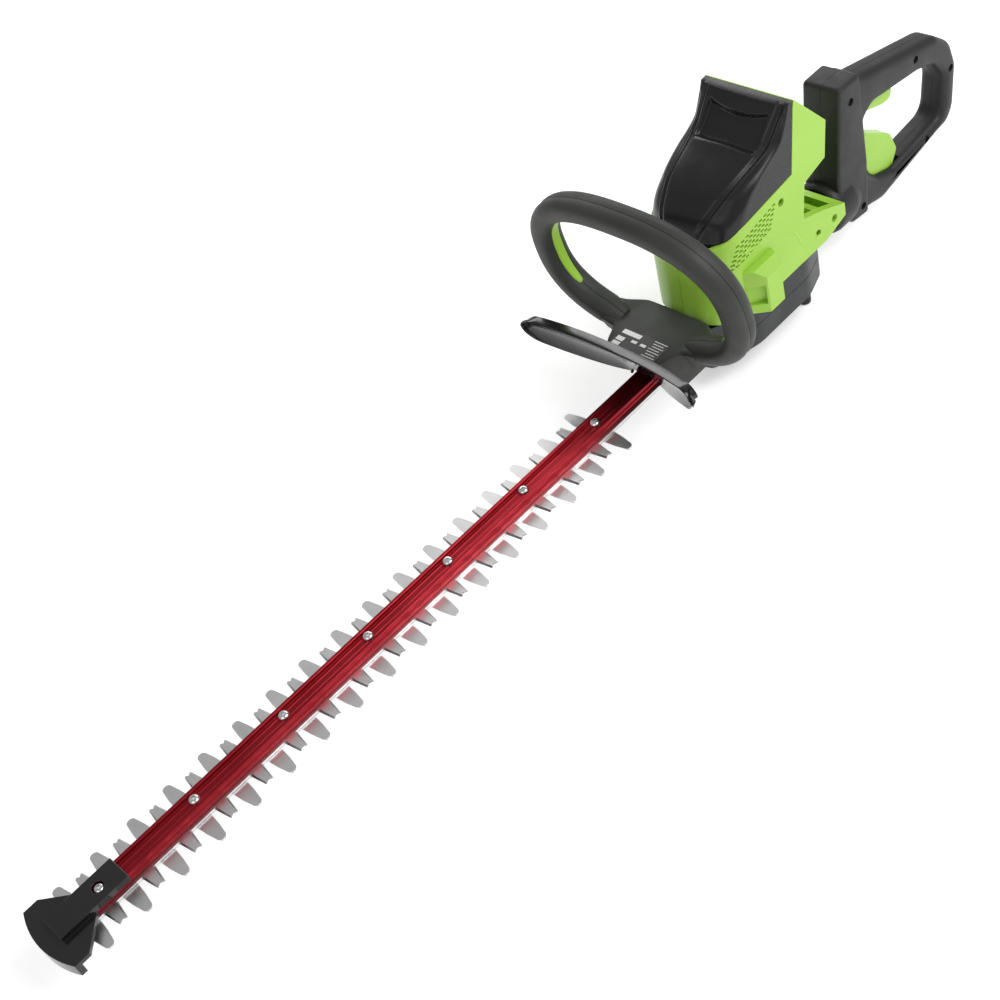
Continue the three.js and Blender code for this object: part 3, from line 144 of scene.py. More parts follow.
BODY_MIDDLE = tuple(at(-760, 0, 80))
panel_light("key_panel", (-0.9, 1.3, 1.9), BODY_MIDDLE, (1.6, 1.2), 33)
panel_light("fill_panel", (1.7, 0.6, 1.4), (0.1, 0, 0), (1.6, 1.6), 8)
panel_light("rim_strip", (-1.3, -1.2, 1.1), BODY_MIDDLE, (1.8, 0.5), 10)
world = bpy.data.worlds.new("studio")
bpy.context.scene.world = world
world.use_nodes = True
world.node_tree.nodes["Background"].inputs["Color"].default_value = (1, 1, 1, 1)
world.node_tree.nodes["Background"].inputs["Strength"].default_value = 0.40
bpy.context.scene.view_settings.view_transform = "Standard"

# %% [markdown]
# ## Finishes as small node recipes
# Real surfaces are never one flat colour. Moulded plastic has a fine spark-eroded grain, and its
# gloss varies a little where hands have touched it. A recipe here mixes three things: a slow colour
# drift, a roughness drift, and a fine bump. All are driven by object coordinates, so they need no
# unwrapping and stay the same from every side.


# %% A recipe for moulded plastic
def shader_of(material):
    return material.node_tree.nodes["Principled BSDF"]


def add_noise(material, scale, detail=4.0, stretch=(1, 1, 1)):
    """A noise texture on object coordinates, given in cycles per metre, and stretched if asked."""
    nodes, links = material.node_tree.nodes, material.node_tree.links
    coordinates = nodes.new("ShaderNodeTexCoord")
    mapping = nodes.new("ShaderNodeMapping")
    mapping.inputs["Scale"].default_value = stretch
    noise = nodes.new("ShaderNodeTexNoise")
    noise.inputs["Scale"].default_value = scale
    noise.inputs["Detail"].default_value = detail
    links.new(coordinates.outputs["Object"], mapping.inputs["Vector"])
    links.new(mapping.outputs["Vector"], noise.inputs["Vector"])
    return noise


def drift(material, noise, socket, low, high):
    """Sends a noise to one socket of the shader, squeezed between two values."""
    nodes, links = material.node_tree.nodes, material.node_tree.links
    spread = nodes.new("ShaderNodeMapRange")
    spread.inputs["From Min"].default_value = 0.3
    spread.inputs["From Max"].default_value = 0.7
    spread.inputs["To Min"].default_value = low
    spread.inputs["To Max"].default_value = high
    links.new(noise.outputs["Fac"], spread.inputs["Value"])
    links.new(spread.outputs["Result"], shader_of(material).inputs[socket])


def tint(material, noise, dark, light):
    """Lets a noise drift the base colour between two close shades."""
    nodes, links = material.node_tree.nodes, material.node_tree.links
    ramp = nodes.new("ShaderNodeValToRGB")
    ramp.color_ramp.elements[0].position = 0.3
    ramp.color_ramp.elements[1].position = 0.7
    ramp.color_ramp.elements[0].color = (*dark, 1)
    ramp.color_ramp.elements[1].color = (*light, 1)
    links.new(noise.outputs["Fac"], ramp.inputs["Fac"])
    links.new(ramp.outputs["Color"], shader_of(material).inputs["Base Color"])


def grain(material, noise, strength, depth):
    """Turns a noise into a fine bump, with its depth in metres."""
    nodes, links = material.node_tree.nodes, material.node_tree.links
    bump = nodes.new("ShaderNodeBump")
    bump.inputs["Strength"].default_value = strength
    bump.inputs["Distance"].default_value = depth
    links.new(noise.outputs["Fac"], bump.inputs["Height"])
    links.new(bump.outputs["Normal"], shader_of(material).inputs["Normal"])


def moulded_plastic(name, dark, light, gloss, grain_scale, grain_depth, coat=0.0):
    """Plastic with a slow colour drift, an uneven gloss and a fine moulded grain."""
    material = bpy.data.materials.new(name)
    material.use_nodes = True
    slow = add_noise(material, 14)
    tint(material, slow, dark, light)
    drift(material, add_noise(material, 60, 6), "Roughness", gloss[0], gloss[1])
    grain(material, add_noise(material, grain_scale, 3), 0.5, grain_depth)
    shader_of(material).inputs["Specular IOR Level"].default_value = 0.35
    shader_of(material).inputs["Coat Weight"].default_value = coat
    shader_of(material).inputs["Coat Roughness"].default_value = 0.12
    return material


# %% Mix the plastics
leaf_green = moulded_plastic(
    "leaf_green_shell", (0.33, 0.59, 0.058), (0.36, 0.63, 0.072), (0.30, 0.38), 900, 0.00003, 0.1)
gloss_black = moulded_plastic(
    "gloss_black_cover", (0.009, 0.009, 0.010), (0.013, 0.013, 0.014), (0.22, 0.32), 900, 0.00003)
handle_grey = moulded_plastic(
    "handle_charcoal", (0.014, 0.014, 0.015), (0.020, 0.020, 0.021), (0.42, 0.54), 1500, 0.00008)
loop_grey = moulded_plastic(
    "loop_olive_grey", (0.030, 0.032, 0.029), (0.040, 0.042, 0.038), (0.46, 0.58), 1500, 0.00008)
guard_black = moulded_plastic(
    "guard_black", (0.010, 0.010, 0.011), (0.015, 0.015, 0.016), (0.14, 0.22), 800, 0.00002, 0.3)
inner_black = moulded_plastic(
    "inner_black", (0.008, 0.008, 0.008), (0.013, 0.013, 0.013), (0.4, 0.55), 1200, 0.00005)
plastics = (leaf_green, gloss_black, handle_grey, loop_grey, guard_black, inner_black)
print("plastics:", [m.name for m in plastics])

# %% [markdown]
# ## Metals
# The bar is extruded aluminium, dyed red by anodising. The die leaves faint lines along its length,
# so its noise is stretched hard along X. The blades are stamped from sheet and ground, which leaves
# fine marks across the teeth. For both, metallic is 1 and the colour is the reflection's own tint.


# %% A recipe for worked metal
def worked_metal(name, dark, light, gloss, stretch, line_scale, line_depth):
    """Metal with fine lines in one direction, made by stretching a noise."""
    material = bpy.data.materials.new(name)
    material.use_nodes = True
    shader_of(material).inputs["Metallic"].default_value = 1.0
    tint(material, add_noise(material, 25, 5), dark, light)
    lines = add_noise(material, line_scale, 3, stretch)
    drift(material, lines, "Roughness", gloss[0], gloss[1])
    grain(material, lines, 0.4, line_depth)
    return material


ALONG_X, ALONG_Y, ALONG_Z, EVEN = (0.02, 1, 1), (1, 0.05, 1), (1, 1, 0.02), (1, 1, 1)
red_anodised = worked_metal(
    "red_anodised", (0.30, 0.016, 0.024), (0.37, 0.024, 0.034), (0.30, 0.44), ALONG_X, 2500, 0.00003)
ground_steel = worked_metal(
    "ground_steel", (0.70, 0.70, 0.70), (0.80, 0.80, 0.80), (0.30, 0.44), ALONG_Y, 2200, 0.00002)
honed_edge = worked_metal(
    "honed_edge", (0.30, 0.30, 0.31), (0.40, 0.40, 0.41), (0.18, 0.30), ALONG_Y, 3000, 0.00002)
bright_zinc = worked_metal(
    "bright_zinc", (0.68, 0.68, 0.69), (0.78, 0.78, 0.78), (0.16, 0.28), EVEN, 1500, 0.00002)
cast_alloy = worked_metal(
    "cast_alloy", (0.050, 0.050, 0.054), (0.075, 0.075, 0.080), (0.34, 0.46), EVEN, 1100, 0.00012)
dark_iron = worked_metal(
    "dark_iron", (0.12, 0.12, 0.13), (0.18, 0.18, 0.19), (0.4, 0.55), ALONG_Z, 1800, 0.00004)
copper = worked_metal(
    "copper_winding", (0.60, 0.28, 0.14), (0.72, 0.36, 0.19), (0.3, 0.45), ALONG_Z, 1800, 0.00005)
print("metals mixed")

# %% [markdown]
# ## Moulded edges from the CAD solids
# The CAD solids have sharp corners, but nothing that comes out of a mould or a die does. For a piece
# whose shape is already right, the quickest honest way is to copy its solid, merge the flat facets
# into whole faces, and run a Bevel modifier on the edges that really turn a corner. The copy then
# stands in for the CAD node, which stays in the frame for its collision and its weight.


# %% Helpers that copy, bevel and hand over a piece
def baked(obj):
    """Applies an object's modifiers by keeping the mesh that they give."""
    graph = bpy.context.evaluated_depsgraph_get()
    mesh = bpy.data.meshes.new_from_object(obj.evaluated_get(graph))
    obj.modifiers.clear()
    obj.data = mesh
    return obj


def smooth(obj, angle=32):
    obj.data.shade_smooth()
    obj.data.set_sharp_from_angle(angle=math.radians(angle))
    return obj


def bevelled(obj, width, segments=3, angle=28):
    """Rounds the edges that turn by more than an angle. The width is in millimetres."""
    bevel = obj.modifiers.new("edge", "BEVEL")
    bevel.width = width * MM
    bevel.segments = segments
    bevel.limit_method = "ANGLE"
    bevel.angle_limit = math.radians(angle)
    bevel.use_clamp_overlap = True
    bevel.harden_normals = True
    return baked(obj)


def body_of(node):
    for name, members in frame["record"]["behaviour"]["bodies"].items():
        if node in members:
            return name
    raise ValueError(node)


def hand_over(obj, material, *nodes):
    """Gives a finished piece its material and its body, and hides the CAD nodes that it stands for."""
    obj.data.materials.clear()
    obj.data.materials.append(material)
    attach(obj, body_of(nodes[0]))
    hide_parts(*nodes)
    return obj


def add_detail(obj, material, node):
    """A small extra piece that rides with a CAD node's body, and replaces nothing."""
    obj.data.materials.clear()
    obj.data.materials.append(material)
    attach(obj, body_of(node))
    return obj


def copy_of(node, name):
    """A clean copy of a CAD solid, with its flat facets merged."""
    mesh = frame["nodes"][node].data.copy()
    mesh.materials.clear()
    solid = bmesh.new()
    solid.from_mesh(mesh)
    bmesh.ops.remove_doubles(solid, verts=solid.verts, dist=0.00001)
    bmesh.ops.dissolve_limit(solid, angle_limit=math.radians(0.5), verts=solid.verts, edges=solid.edges)
    solid.to_mesh(mesh)
    solid.free()
    return new_object(name, mesh)


def rounded_node(node, width, material, angle=28, shade=32):
    """A bevelled copy of a CAD solid. Weighted normals keep its large faces flat in the light."""
    obj = smooth(bevelled(copy_of(node, node + "_finished"), width, angle=angle), shade)
    weights = obj.modifiers.new("flat faces", "WEIGHTED_NORMAL")
    weights.keep_sharp = True
    weights.weight = 100
    return hand_over(baked(obj), material, node)


def mesh_from(name, points, faces):
    """A mesh from points in millimetres, measured from the blade."""
    mesh = bpy.data.meshes.new(name)
    mesh.from_pydata([at(*p) for p in points], [], faces)
    mesh.validate()
    obj = new_object(name, mesh)
    shape = bmesh.new()
    shape.from_mesh(mesh)
    bmesh.ops.recalc_face_normals(shape, faces=shape.faces)
    shape.to_mesh(mesh)
    shape.free()
    return obj


def swept(name, rings):
    """Joins equal rings of points, in millimetres, into one closed skin."""
    count = len(rings[0])
    points = [p for ring in rings for p in ring]
    faces = []
    for r in range(len(rings) - 1):
        for i in range(count):
            j = (i + 1) % count
            faces.append((r * count + i, r * count + j, (r + 1) * count + j, (r + 1) * count + i))
    faces.append(tuple(range(count)))
    faces.append(tuple(range((len(rings) - 1) * count, len(rings) * count)))
    return mesh_from(name, points, faces)


def bar_along_x(name, section, x0, x1):
    return swept(name, [[(x, y, z) for y, z in section] for x in (x0, x1)])


print("helpers ready")

# %% [markdown]
# ## The blades
# Each blade is a steel comb. Its teeth are stamped, and then their flanks are ground to a slope that
# makes the cutting edge. So each tooth is wider underneath than on top, or the other way round on
# the lower blade. A tooth's outline is written once as a few points, and a loop lays it out at the
# pitch. The short teeth end in a small V that stops twigs from sliding off.

# %% Tooth outlines
PITCH = 35.5
LONG_TEETH = 17
BLADE_EDGE = 13
BLADE_BACK = (blade_box[0] - origin).x / MM
BLADE_NOSE = 10
BLADE_THICK = 2


def long_tooth(x, grind):
    """Half a comb's outline round one long tooth, drawn in by the grinding on its flanks."""
    root, tip, reach = 7 - grind, 4 - 0.7 * grind, 37.9
    arc = [(x + tip * math.cos(a), reach - 3.6 + 3.4 * math.sin(a)) for a in np.linspace(math.pi, 0, 9)]
    return [(x - root, BLADE_EDGE), (x - (root * 0.55 + tip * 0.5), 24.5)] + arc + [
        (x + (root * 0.55 + tip * 0.5), 24.5), (x + root, BLADE_EDGE)]


def short_tooth(x, grind):
    root, tip, reach = 6.4 - grind, 3.7 - 0.55 * grind, 29.4
    return [
        (x - root, BLADE_EDGE), (x - tip, reach - 0.2), (x - tip + 0.5, reach),
        (x, reach - 1.8), (x + tip - 0.5, reach), (x + tip, reach - 0.2), (x + root, BLADE_EDGE)]


def comb(tooth, first, count, grind):
    side = [(BLADE_BACK, BLADE_EDGE)]
    for k in reversed(range(count)):
        side += tooth(first - k * PITCH, grind)
    side.append((BLADE_NOSE, BLADE_EDGE))
    return side + [(x, -y) for x, y in reversed(side)]


# %% Grind the two blades
def ground_blade(name, node, tooth, first, count, z_wide, z_ground):
    """A comb whose ground side is narrower across its teeth than its flat side."""
    land = z_wide + (z_ground - z_wide) * 0.2
    levels = [(0, z_wide), (0, land), (1.7, z_ground)]
    rings = [[(x, y, z) for x, y in comb(tooth, first, count, grind)] for grind, z in levels]
    obj = swept(name, rings)
    obj.data.materials.append(ground_steel)
    obj.data.materials.append(honed_edge)
    for face in obj.data.polygons:
        face.material_index = 1 if 0.15 < abs(face.normal.z) < 0.96 else 0
    obj.data.shade_flat()
    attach(obj, body_of(node))
    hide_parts(node)
    return obj


upper_z = (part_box("upper_blade")[0].z - origin.z) / MM
lower_z = (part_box("lower_blade")[0].z - origin.z) / MM
upper = ground_blade(
    "upper_cutter_blade", "upper_blade", short_tooth, -PITCH / 2, LONG_TEETH - 1,
    upper_z, upper_z + BLADE_THICK)
lower = ground_blade(
    "lower_cutter_blade", "lower_blade", long_tooth, 0, LONG_TEETH, lower_z + BLADE_THICK, lower_z)
print("blade faces:", len(upper.data.polygons), len(lower.data.polygons))

# %% [markdown]
# ## The anodised bar
# The bar is one extrusion, so it is one section pulled straight along X. The section has a lip down
# each side, a raised rib, and a sunk channel in the middle where the screw heads sit. Light catches
# each step as a separate line, and that is what makes an extrusion look like one.

# %% Draw the bar's section and pull it
bar_low, bar_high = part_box("guide_bar")
bar_z0 = (bar_low.z - origin.z) / MM
bar_z1 = (bar_high.z - origin.z) / MM
bar_x0 = (bar_low.x - origin.x) / MM
bar_x1 = (bar_high.x - origin.x) / MM
channel = bar_z1 - 2.9
half_section = [
    (0, channel), (2.0, channel), (2.4, channel + 0.5), (3.0, channel + 0.5), (3.4, channel),
    (5.4, channel), (6.2, bar_z1 - 0.5), (6.8, bar_z1), (8.8, bar_z1), (9.5, bar_z1 - 0.7),
    (9.6, bar_z1 - 3.4), (10.1, bar_z1 - 4.1), (10.5, bar_z1 - 4.5), (10.5, bar_z0 + 0.5), (10.1, bar_z0),
]
section = half_section + [(-y, z) for y, z in reversed(half_section[1:])]
bar = bar_along_x("anodised_bar", section, bar_x0, bar_x1)
hand_over(smooth(bevelled(bar, 0.25, 2, 20), 20), red_anodised, "guide_bar")
print("bar is", round(bar_x1 - bar_x0), "mm long")

# %% [markdown]
# ## Screws
# A domed head with a star-shaped recess is a lathe shape with a hole pressed into it. The head's
# profile is a handful of points spun round the axis. The recess is a lobed outline that is pushed
# down into the dome, so the same function serves the bar and the two handles.


# %% Turn a screw head
def screw_head(name, centre, out, radius, height, node, material=None):
    """A domed head at a point of the frame, which faces along the direction out."""
    material = material or bright_zinc
    head = bmesh.new()
    sides = 36
    levels = [(1.0, 0.0), (1.0, 0.38), (0.96, 0.52), (0.84, 0.72), (0.66, 0.86), (0.50, 0.93)]
    rings = []
    for share, rise in levels:
        ring = []
        for i in range(sides):
            a = 2 * math.pi * i / sides
            x, y = radius * share * math.cos(a), radius * share * math.sin(a)
            ring.append(head.verts.new((x, y, height * rise)))
        rings.append(ring)
    for share, rise in [(0.36, 0.93), (0.33, 0.35)]:
        ring = []
        for i in range(sides):
            a = 2 * math.pi * i / sides
            lobe = share * (1 + 0.16 * math.cos(6 * a))
            x, y = radius * lobe * math.cos(a), radius * lobe * math.sin(a)
            ring.append(head.verts.new((x, y, height * rise)))
        rings.append(ring)
    for low, high in zip(rings, rings[1:]):
        for i in range(sides):
            head.faces.new((low[i], low[(i + 1) % sides], high[(i + 1) % sides], high[i]))
    head.faces.new(list(reversed(rings[0])))
    head.faces.new(rings[-1])
    mesh = bpy.data.meshes.new(name)
    head.to_mesh(mesh)
    head.free()
    obj = new_object(name, mesh)
    aim = Vector(out).to_track_quat("Z", "Y").to_matrix().to_4x4()
    mesh.transform(Matrix.Translation(centre) @ aim @ Matrix.Scale(MM, 4))
    hand_over(smooth(obj, 40), material, node)
    return obj


BAR_HEAD_RADIUS, BAR_HEAD_HEIGHT = 4.6, 3.8
for i in range(1, 8):
    low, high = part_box(f"bar_screw_{i}")
    middle = (low + high) / 2
    seat = Vector((middle.x, middle.y, high.z - BAR_HEAD_HEIGHT * MM))
    screw_head(f"bar_screw_head_{i}", seat, (0, 0, 1), BAR_HEAD_RADIUS, BAR_HEAD_HEIGHT, f"bar_screw_{i}")
print("bar screws turned: 7")

# %% [markdown]
# ## The body's plan at any height
# The battery tower is a rounded wedge. Seen from above it has straight sides and a blunt, elliptical
# nose, and the nose moves back as it rises. A short table of heights is enough to describe that. A
# smooth curve through the table then gives the nose and the shoulders at any height in between, so
# the skin can have as many rows as it needs without a visible facet.

# %% Describe the tower
HALF = 46
FOOT, CREST = 29, 190
LEVELS = [
    (FOOT, -694, -731), (100, -697, -731), (128, -708, -743),
    (147, -732, -765), (161, -775, -797), (CREST, -806, -810)]


def plan_at(z):
    """Nose tip and shoulder at a height, eased between the levels."""
    for (z0, n0, s0), (z1, n1, s1) in zip(LEVELS, LEVELS[1:]):
        if z <= z1:
            t = (z - z0) / (z1 - z0)
            return n0 + (n1 - n0) * t, s0 + (s1 - s0) * t
    return LEVELS[-1][1:]


def eased_plan(z, reach=5):
    """The same, averaged over a few millimetres so that the levels leave soft folds."""
    spots = [plan_at(min(CREST, max(FOOT, z + d))) for d in np.linspace(-reach, reach, 5)]
    return tuple(sum(values) / 5 for values in zip(*spots))


def skin_point(turn_share, z, inset=0.0):
    """A point of the tower's skin. The share runs from 1 on the left side, round the nose, to -1."""
    nose, shoulder = eased_plan(z)
    angle = turn_share * math.pi / 2
    depth = (nose - shoulder) - inset
    half = HALF - inset
    x = shoulder + depth * max(0, math.cos(angle)) ** 0.85
    y = half * math.copysign(abs(math.sin(angle)) ** 0.85, angle)
    return x, y, z


def hem_height(x):
    """Height of the cover's lower edge at a place along the tool."""
    return float(np.interp(x, [-802, -730, -702, -640], [125, 117, 105, 96]))


def hem_back(z):
    """How far back the cover reaches at a height."""
    return float(np.interp(z, [125, 184, 190], [-802, -813, -816]))


print("nose at 60, 120 and 160 mm:", [round(plan_at(z)[0]) for z in (60, 120, 160)])

# %% [markdown]
# ## The glossy cover
# The cover is one thin moulding that wraps the tower's front. Its face has a sunk panel that narrows
# towards the nose, between two soft ribs, and a deeper pocket across the top. A grid follows the
# skin, and each grid point is pushed in or out by a small height function. That keeps the surface
# even, so reflections slide over it without kinks. A Solidify modifier gives the wall its thickness.


# %% Sculpt the cover's relief
def step_between(value, low, high):
    """Rises smoothly from 0 to 1 as value goes from low to high."""
    t = min(1, max(0, (value - low) / (high - low)))
    return t * t * (3 - 2 * t)


def cover_relief(y, z):
    """How far, in millimetres, the cover's face sinks below the plain skin."""
    side = abs(y)
    panel_half = float(np.interp(z, [100, 118, 150, 162, 186], [9, 16, 30, 34.5, 36.5]))
    groove = 2.6 * math.exp(-((side - panel_half - 2.6) / 2.1) ** 2) * step_between(z, 112, 126)
    shoulder = 1.3 * step_between(side, panel_half + 4.4, panel_half + 7) * (1 - step_between(z, 181, 184))
    arch = 1 - (side / 33) ** 2
    pocket = (1 - step_between(side, 29.5, 32.5)) * step_between(z, 159 + 2 * arch, 161.8 + 2 * arch)
    pocket *= (4.2 + 1.4 * arch) * (1 - step_between(z, 181 - 3.5 * arch, 184 - 3.5 * arch))
    hem = 3.4 * (1 - step_between(z, 109, 112.5))
    return groove + shoulder + pocket + hem


def cover_grid():
    """Columns of points, each from the hem up to the crest."""
    columns = []
    shares = np.linspace(1, -1, 121)
    sides = 9
    for k in range(sides):
        columns.append(("side", 1, k / sides))
    columns += [("nose", s, 0) for s in shares]
    for k in reversed(range(sides)):
        columns.append(("side", -1, k / sides))
    grid = []
    rows = 116
    for kind, share, along in columns:
        low = 100.0
        for _ in range(12):
            x = column_point(kind, share, along, max(low, 96))[0]
            low = hem_height(x) + 0.2
        heights = [low + (189.3 - low) * r / (rows - 1) for r in range(rows)]
        column = [column_point(kind, share, along, z) for z in heights]
        x, y, z = column[-1]
        column += [(x + (-815.4 - x) * t, y * (1 - 0.01 * t), 189.7) for t in (0.12, 0.5, 1)]
        grid.append(column)
    return grid


def column_point(kind, share, along, z):
    if kind == "nose":
        x, y, z = skin_point(share, z)
    else:
        back, front = hem_back(max(z, 118)), eased_plan(z)[1]
        x, y = back + 0.4 + (min(front, -700) - back - 0.4) * along, share * HALF
    return x, y, z


def grid_faces(columns, rows):
    return [(c * rows + r, (c + 1) * rows + r, (c + 1) * rows + r + 1, c * rows + r + 1)
            for c in range(columns - 1) for r in range(rows - 1)]


def outward(z):
    """The tilt of the nose at a height, as the X and Z parts of its outward direction."""
    slope = (eased_plan(z - 1)[0] - eased_plan(z + 1)[0]) / 2
    length = math.hypot(1, slope)
    return 1 / length, slope / length


SHEET_WALL = 2.2
grid = cover_grid()
points = []
for column in grid:
    for x, y, z in column:
        nose, shoulder = eased_plan(z)
        ahead = min(1, max(0, (x - shoulder) / (nose - shoulder) * 3))
        crest = z > 189.5
        sink = 0.35 + (0 if crest else cover_relief(y, z) * ahead)
        nx, nz = (0, 1) if crest else outward(z)
        y *= 1 - 0.35 * (1 - ahead) / HALF
        points.append((x - sink * nx * max(ahead, 0.1), y, z - sink * nz * ahead))
cover = mesh_from("front_cover_skin", points, grid_faces(len(grid), len(grid[0])))
wall = cover.modifiers.new("wall", "SOLIDIFY")
wall.thickness = SHEET_WALL * MM
wall.offset = -1
baked(cover)
hand_over(smooth(cover, 62), gloss_black, "front_cover")
print("cover faces:", len(cover.data.polygons))

# %% [markdown]
# ## The green shell
# The housing's two halves keep their exact CAD shape, because the vent field, the wings and the
# screw seats are already cut there. They only need soft edges. The lines that a moulder adds to
# stiffen a flank, such as the swept step and the long grooves, are raised afterwards as thin beads
# that follow a curve on the flank.

# %% Finish the housing halves
for node in ("housing_left", "housing_right"):
    rounded_node(node, 0.9, leaf_green, angle=24, shade=30)


def bead(name, route, radius, material, node, flat=0.45):
    """A thin raised line along a route of points in millimetres, flattened across Y."""
    curve = bpy.data.curves.new(name, "CURVE")
    curve.dimensions = "3D"
    spline = curve.splines.new("NURBS")
    spline.points.add(len(route) - 1)
    for point, place in zip(spline.points, route):
        point.co = (*place, 1)
    spline.use_endpoint_u = True
    spline.order_u = 3
    spline.resolution_u = 8
    curve.bevel_depth = radius
    curve.bevel_resolution = 3
    curve.use_fill_caps = True
    obj = new_object(name, curve)
    mesh = bpy.data.meshes.new_from_object(obj.evaluated_get(bpy.context.evaluated_depsgraph_get()))
    bpy.data.objects.remove(obj)
    middle = sum(p[1] for p in route) / len(route)
    for vertex in mesh.vertices:
        vertex.co.y = middle + (vertex.co.y - middle) * flat
        vertex.co = at(*vertex.co)
    obj = new_object(name, mesh)
    return add_detail(smooth(obj), material, node)


for side, node in ((1, "housing_left"), (-1, "housing_right")):
    y = side * (HALF - 0.35)
    sweep = [
        (-731, y, 92), (-760, y, 84), (-790, y, 74), (-801, y, 62),
        (-803, y, 50), (-812, y, 42), (-846, y, 38.5)]
    bead(f"{node}_sweep", sweep, 1.5, leaf_green, node)
    for k in range(3):
        z = 35.5 + 3.4 * k
        rib = [(-770 - 2 * k, y, z), (-800, y, z + 0.3), (-826, y, z + 1.5)]
        bead(f"{node}_rib_{k + 1}", rib, 0.8, leaf_green, node)
print("housing finished")

# %% [markdown]
# ## The front loop
# The loop handle is two C-shaped mouldings that close round a hollow grip. Its centre line is a
# squared-off oval, which a power of sine and cosine describes in two lines. The section is swept
# along it with its corners rounded in the same way. Each half is kept a hair short of the middle
# plane, so the seam shows as a fine dark line, as it does on a real grip.

# %% Sweep the loop's halves
LEAN = math.radians(7)
LOOP_X, LOOP_Z = -661, 30
LOOP_HALF, LOOP_DEPTH, LOOP_WIDTH = 102.4, 27.6, 22.4
SEAM = 0.22


def on_loop(y, h, d):
    """A point of the loop's leaning plane: h climbs it, and d stands off it towards the blade."""
    x = LOOP_X + h * math.sin(LEAN) + d * math.cos(LEAN)
    z = LOOP_Z + h * math.cos(LEAN) - d * math.sin(LEAN)
    return x, y, z


def power(value, exponent):
    return math.copysign(abs(value) ** exponent, value)


def loop_centre(degrees):
    a = math.radians(degrees)
    rise = 69 if math.sin(a) >= 0 else 65
    return LOOP_HALF * power(math.cos(a), 0.8), 75 + rise * power(math.sin(a), 0.8)


def half_section(degrees, side, shrink):
    """Half of the grip's rounded section at one place on the loop, closed by a flat at the seam."""
    y, h = loop_centre(degrees)
    y1, h1 = loop_centre(degrees + 0.4)
    length = math.hypot(y1 - y, h1 - h)
    out = ((h1 - h) / length, -(y1 - y) / length)
    ring = []
    for i in range(19):
        a = math.pi * i / 18
        across = (LOOP_WIDTH / 2 - shrink) * power(math.cos(a), 0.78)
        depth = (LOOP_DEPTH / 2 - shrink) * power(math.sin(a), 0.78)
        ring.append((across, side * max(depth, SEAM)))
    first = (LOOP_WIDTH / 2 - shrink - 0.5, side * SEAM)
    last = (-LOOP_WIDTH / 2 + shrink + 0.5, side * SEAM)
    ring = [first] + ring[1:-1] + [last]
    return [on_loop(y + out[0] * a, h + out[1] * a, d) for a, d in ring]


for side, node in ((1, "front_handle_front"), (-1, "front_handle_rear")):
    angles = np.linspace(-74, 254, 141)
    sinking = [max(0, abs(a - 90) - 150) / 14 for a in angles]
    sections = [half_section(a, side, 0.5 + 5 * s * s) for a, s in zip(angles, sinking)]
    loop = swept(node + "_finished", sections)
    hand_over(smooth(loop, 48), loop_grey, node)
print("loop halves swept")

# %% Fit the loop's screws and switch bars
for i, angle in enumerate((-52, 60, 120, 232)):
    y, h = loop_centre(angle)
    seat = at(*on_loop(y, h, -LOOP_DEPTH / 2 + 1.6))
    out = (-math.cos(LEAN), 0, math.sin(LEAN))
    screw_head(f"loop_screw_head_{i + 1}", seat, out, 3.4, 1.4, f"loop_screw_{i + 1}", dark_iron)


def switch_bar(side):
    """A slim bar that stands a little proud of one limb's inner side, and follows its curve."""
    rings = []
    middle = 0 if side > 0 else 180
    for degrees in np.linspace(-38, 34, 41):
        y, h = loop_centre(middle + side * degrees)
        y1, h1 = loop_centre(middle + side * (degrees + 0.4))
        length = math.hypot(y1 - y, h1 - h)
        inwards = (side * (h - h1) / length, side * (y1 - y) / length)
        bow = max(0, 1 - ((degrees + 2) / 36) ** 2)
        crown = LOOP_WIDTH / 2 - 1.4 + 2.8 * bow ** 0.5
        half_depth = 2.0 + 2.2 * bow ** 0.4
        section = [(LOOP_WIDTH / 2 - 3, half_depth), (crown - 0.9, half_depth), (crown, half_depth - 0.9),
                   (crown, -half_depth + 0.9), (crown - 0.9, -half_depth), (LOOP_WIDTH / 2 - 3, -half_depth)]
        rings.append([on_loop(y + inwards[0] * a, h + inwards[1] * a, d) for a, d in section])
    return swept(f"switch_bar_{'left' if side > 0 else 'right'}", rings)


for side, node in ((1, "front_switch_left"), (-1, "front_switch_right")):
    hand_over(smooth(switch_bar(side), 40), leaf_green, node)
print("switch bars fitted")

# %% [markdown]
# ## The rear handle
# The handle is a closed ring with a barrel at its front that turns on the body. A filled 2-D curve
# with a bevel could make the ring, but it leaves holes where a boolean cuts it later. So the ring is
# a stack of outlines, each drawn in a little further towards the faces, which rounds its edges. The
# barrel is turned like a pot. Slots and screw seats are cut, and then the whole is split down the
# middle into its two mouldings.

# %% Draw the handle's ring
HANDLE_OUTER = [
    (-914, -14), (-945, -20), (-966, -25), (-1060, -9), (-1077, -8), (-1088, 5), (-1094.6, 50),
    (-1087, 76), (-1064, 95), (-945, 124), (-938, 134), (-907, 134), (-895, 47), (-895, 0)]
HANDLE_OPENING = [
    (-962, 5), (-985, -2), (-1062, 5), (-1069, 12), (-1075, 46), (-1060, 66), (-1035, 75),
    (-962, 86), (-945, 76), (-945, 22)]
GRIP_HALF, COLUMN_HALF = 15, 20
BARREL_Z = 12


def rounded_outline(points, radius, steps=6):
    """Replaces each corner by an arc, as large as the radius or the sides allow."""
    result = []
    count = len(points)
    for i, corner in enumerate(points):
        here = Vector(corner)
        before, after = Vector(points[i - 1]) - here, Vector(points[(i + 1) % count]) - here
        turn = before.angle(after)
        cut = min(radius / math.tan(turn / 2), before.length * 0.48, after.length * 0.48)
        start, end = here + before.normalized() * cut, here + after.normalized() * cut
        for k in range(steps + 1):
            t = k / steps
            result.append(tuple((1 - t) ** 2 * start + 2 * t * (1 - t) * here + t * t * end))
    return result


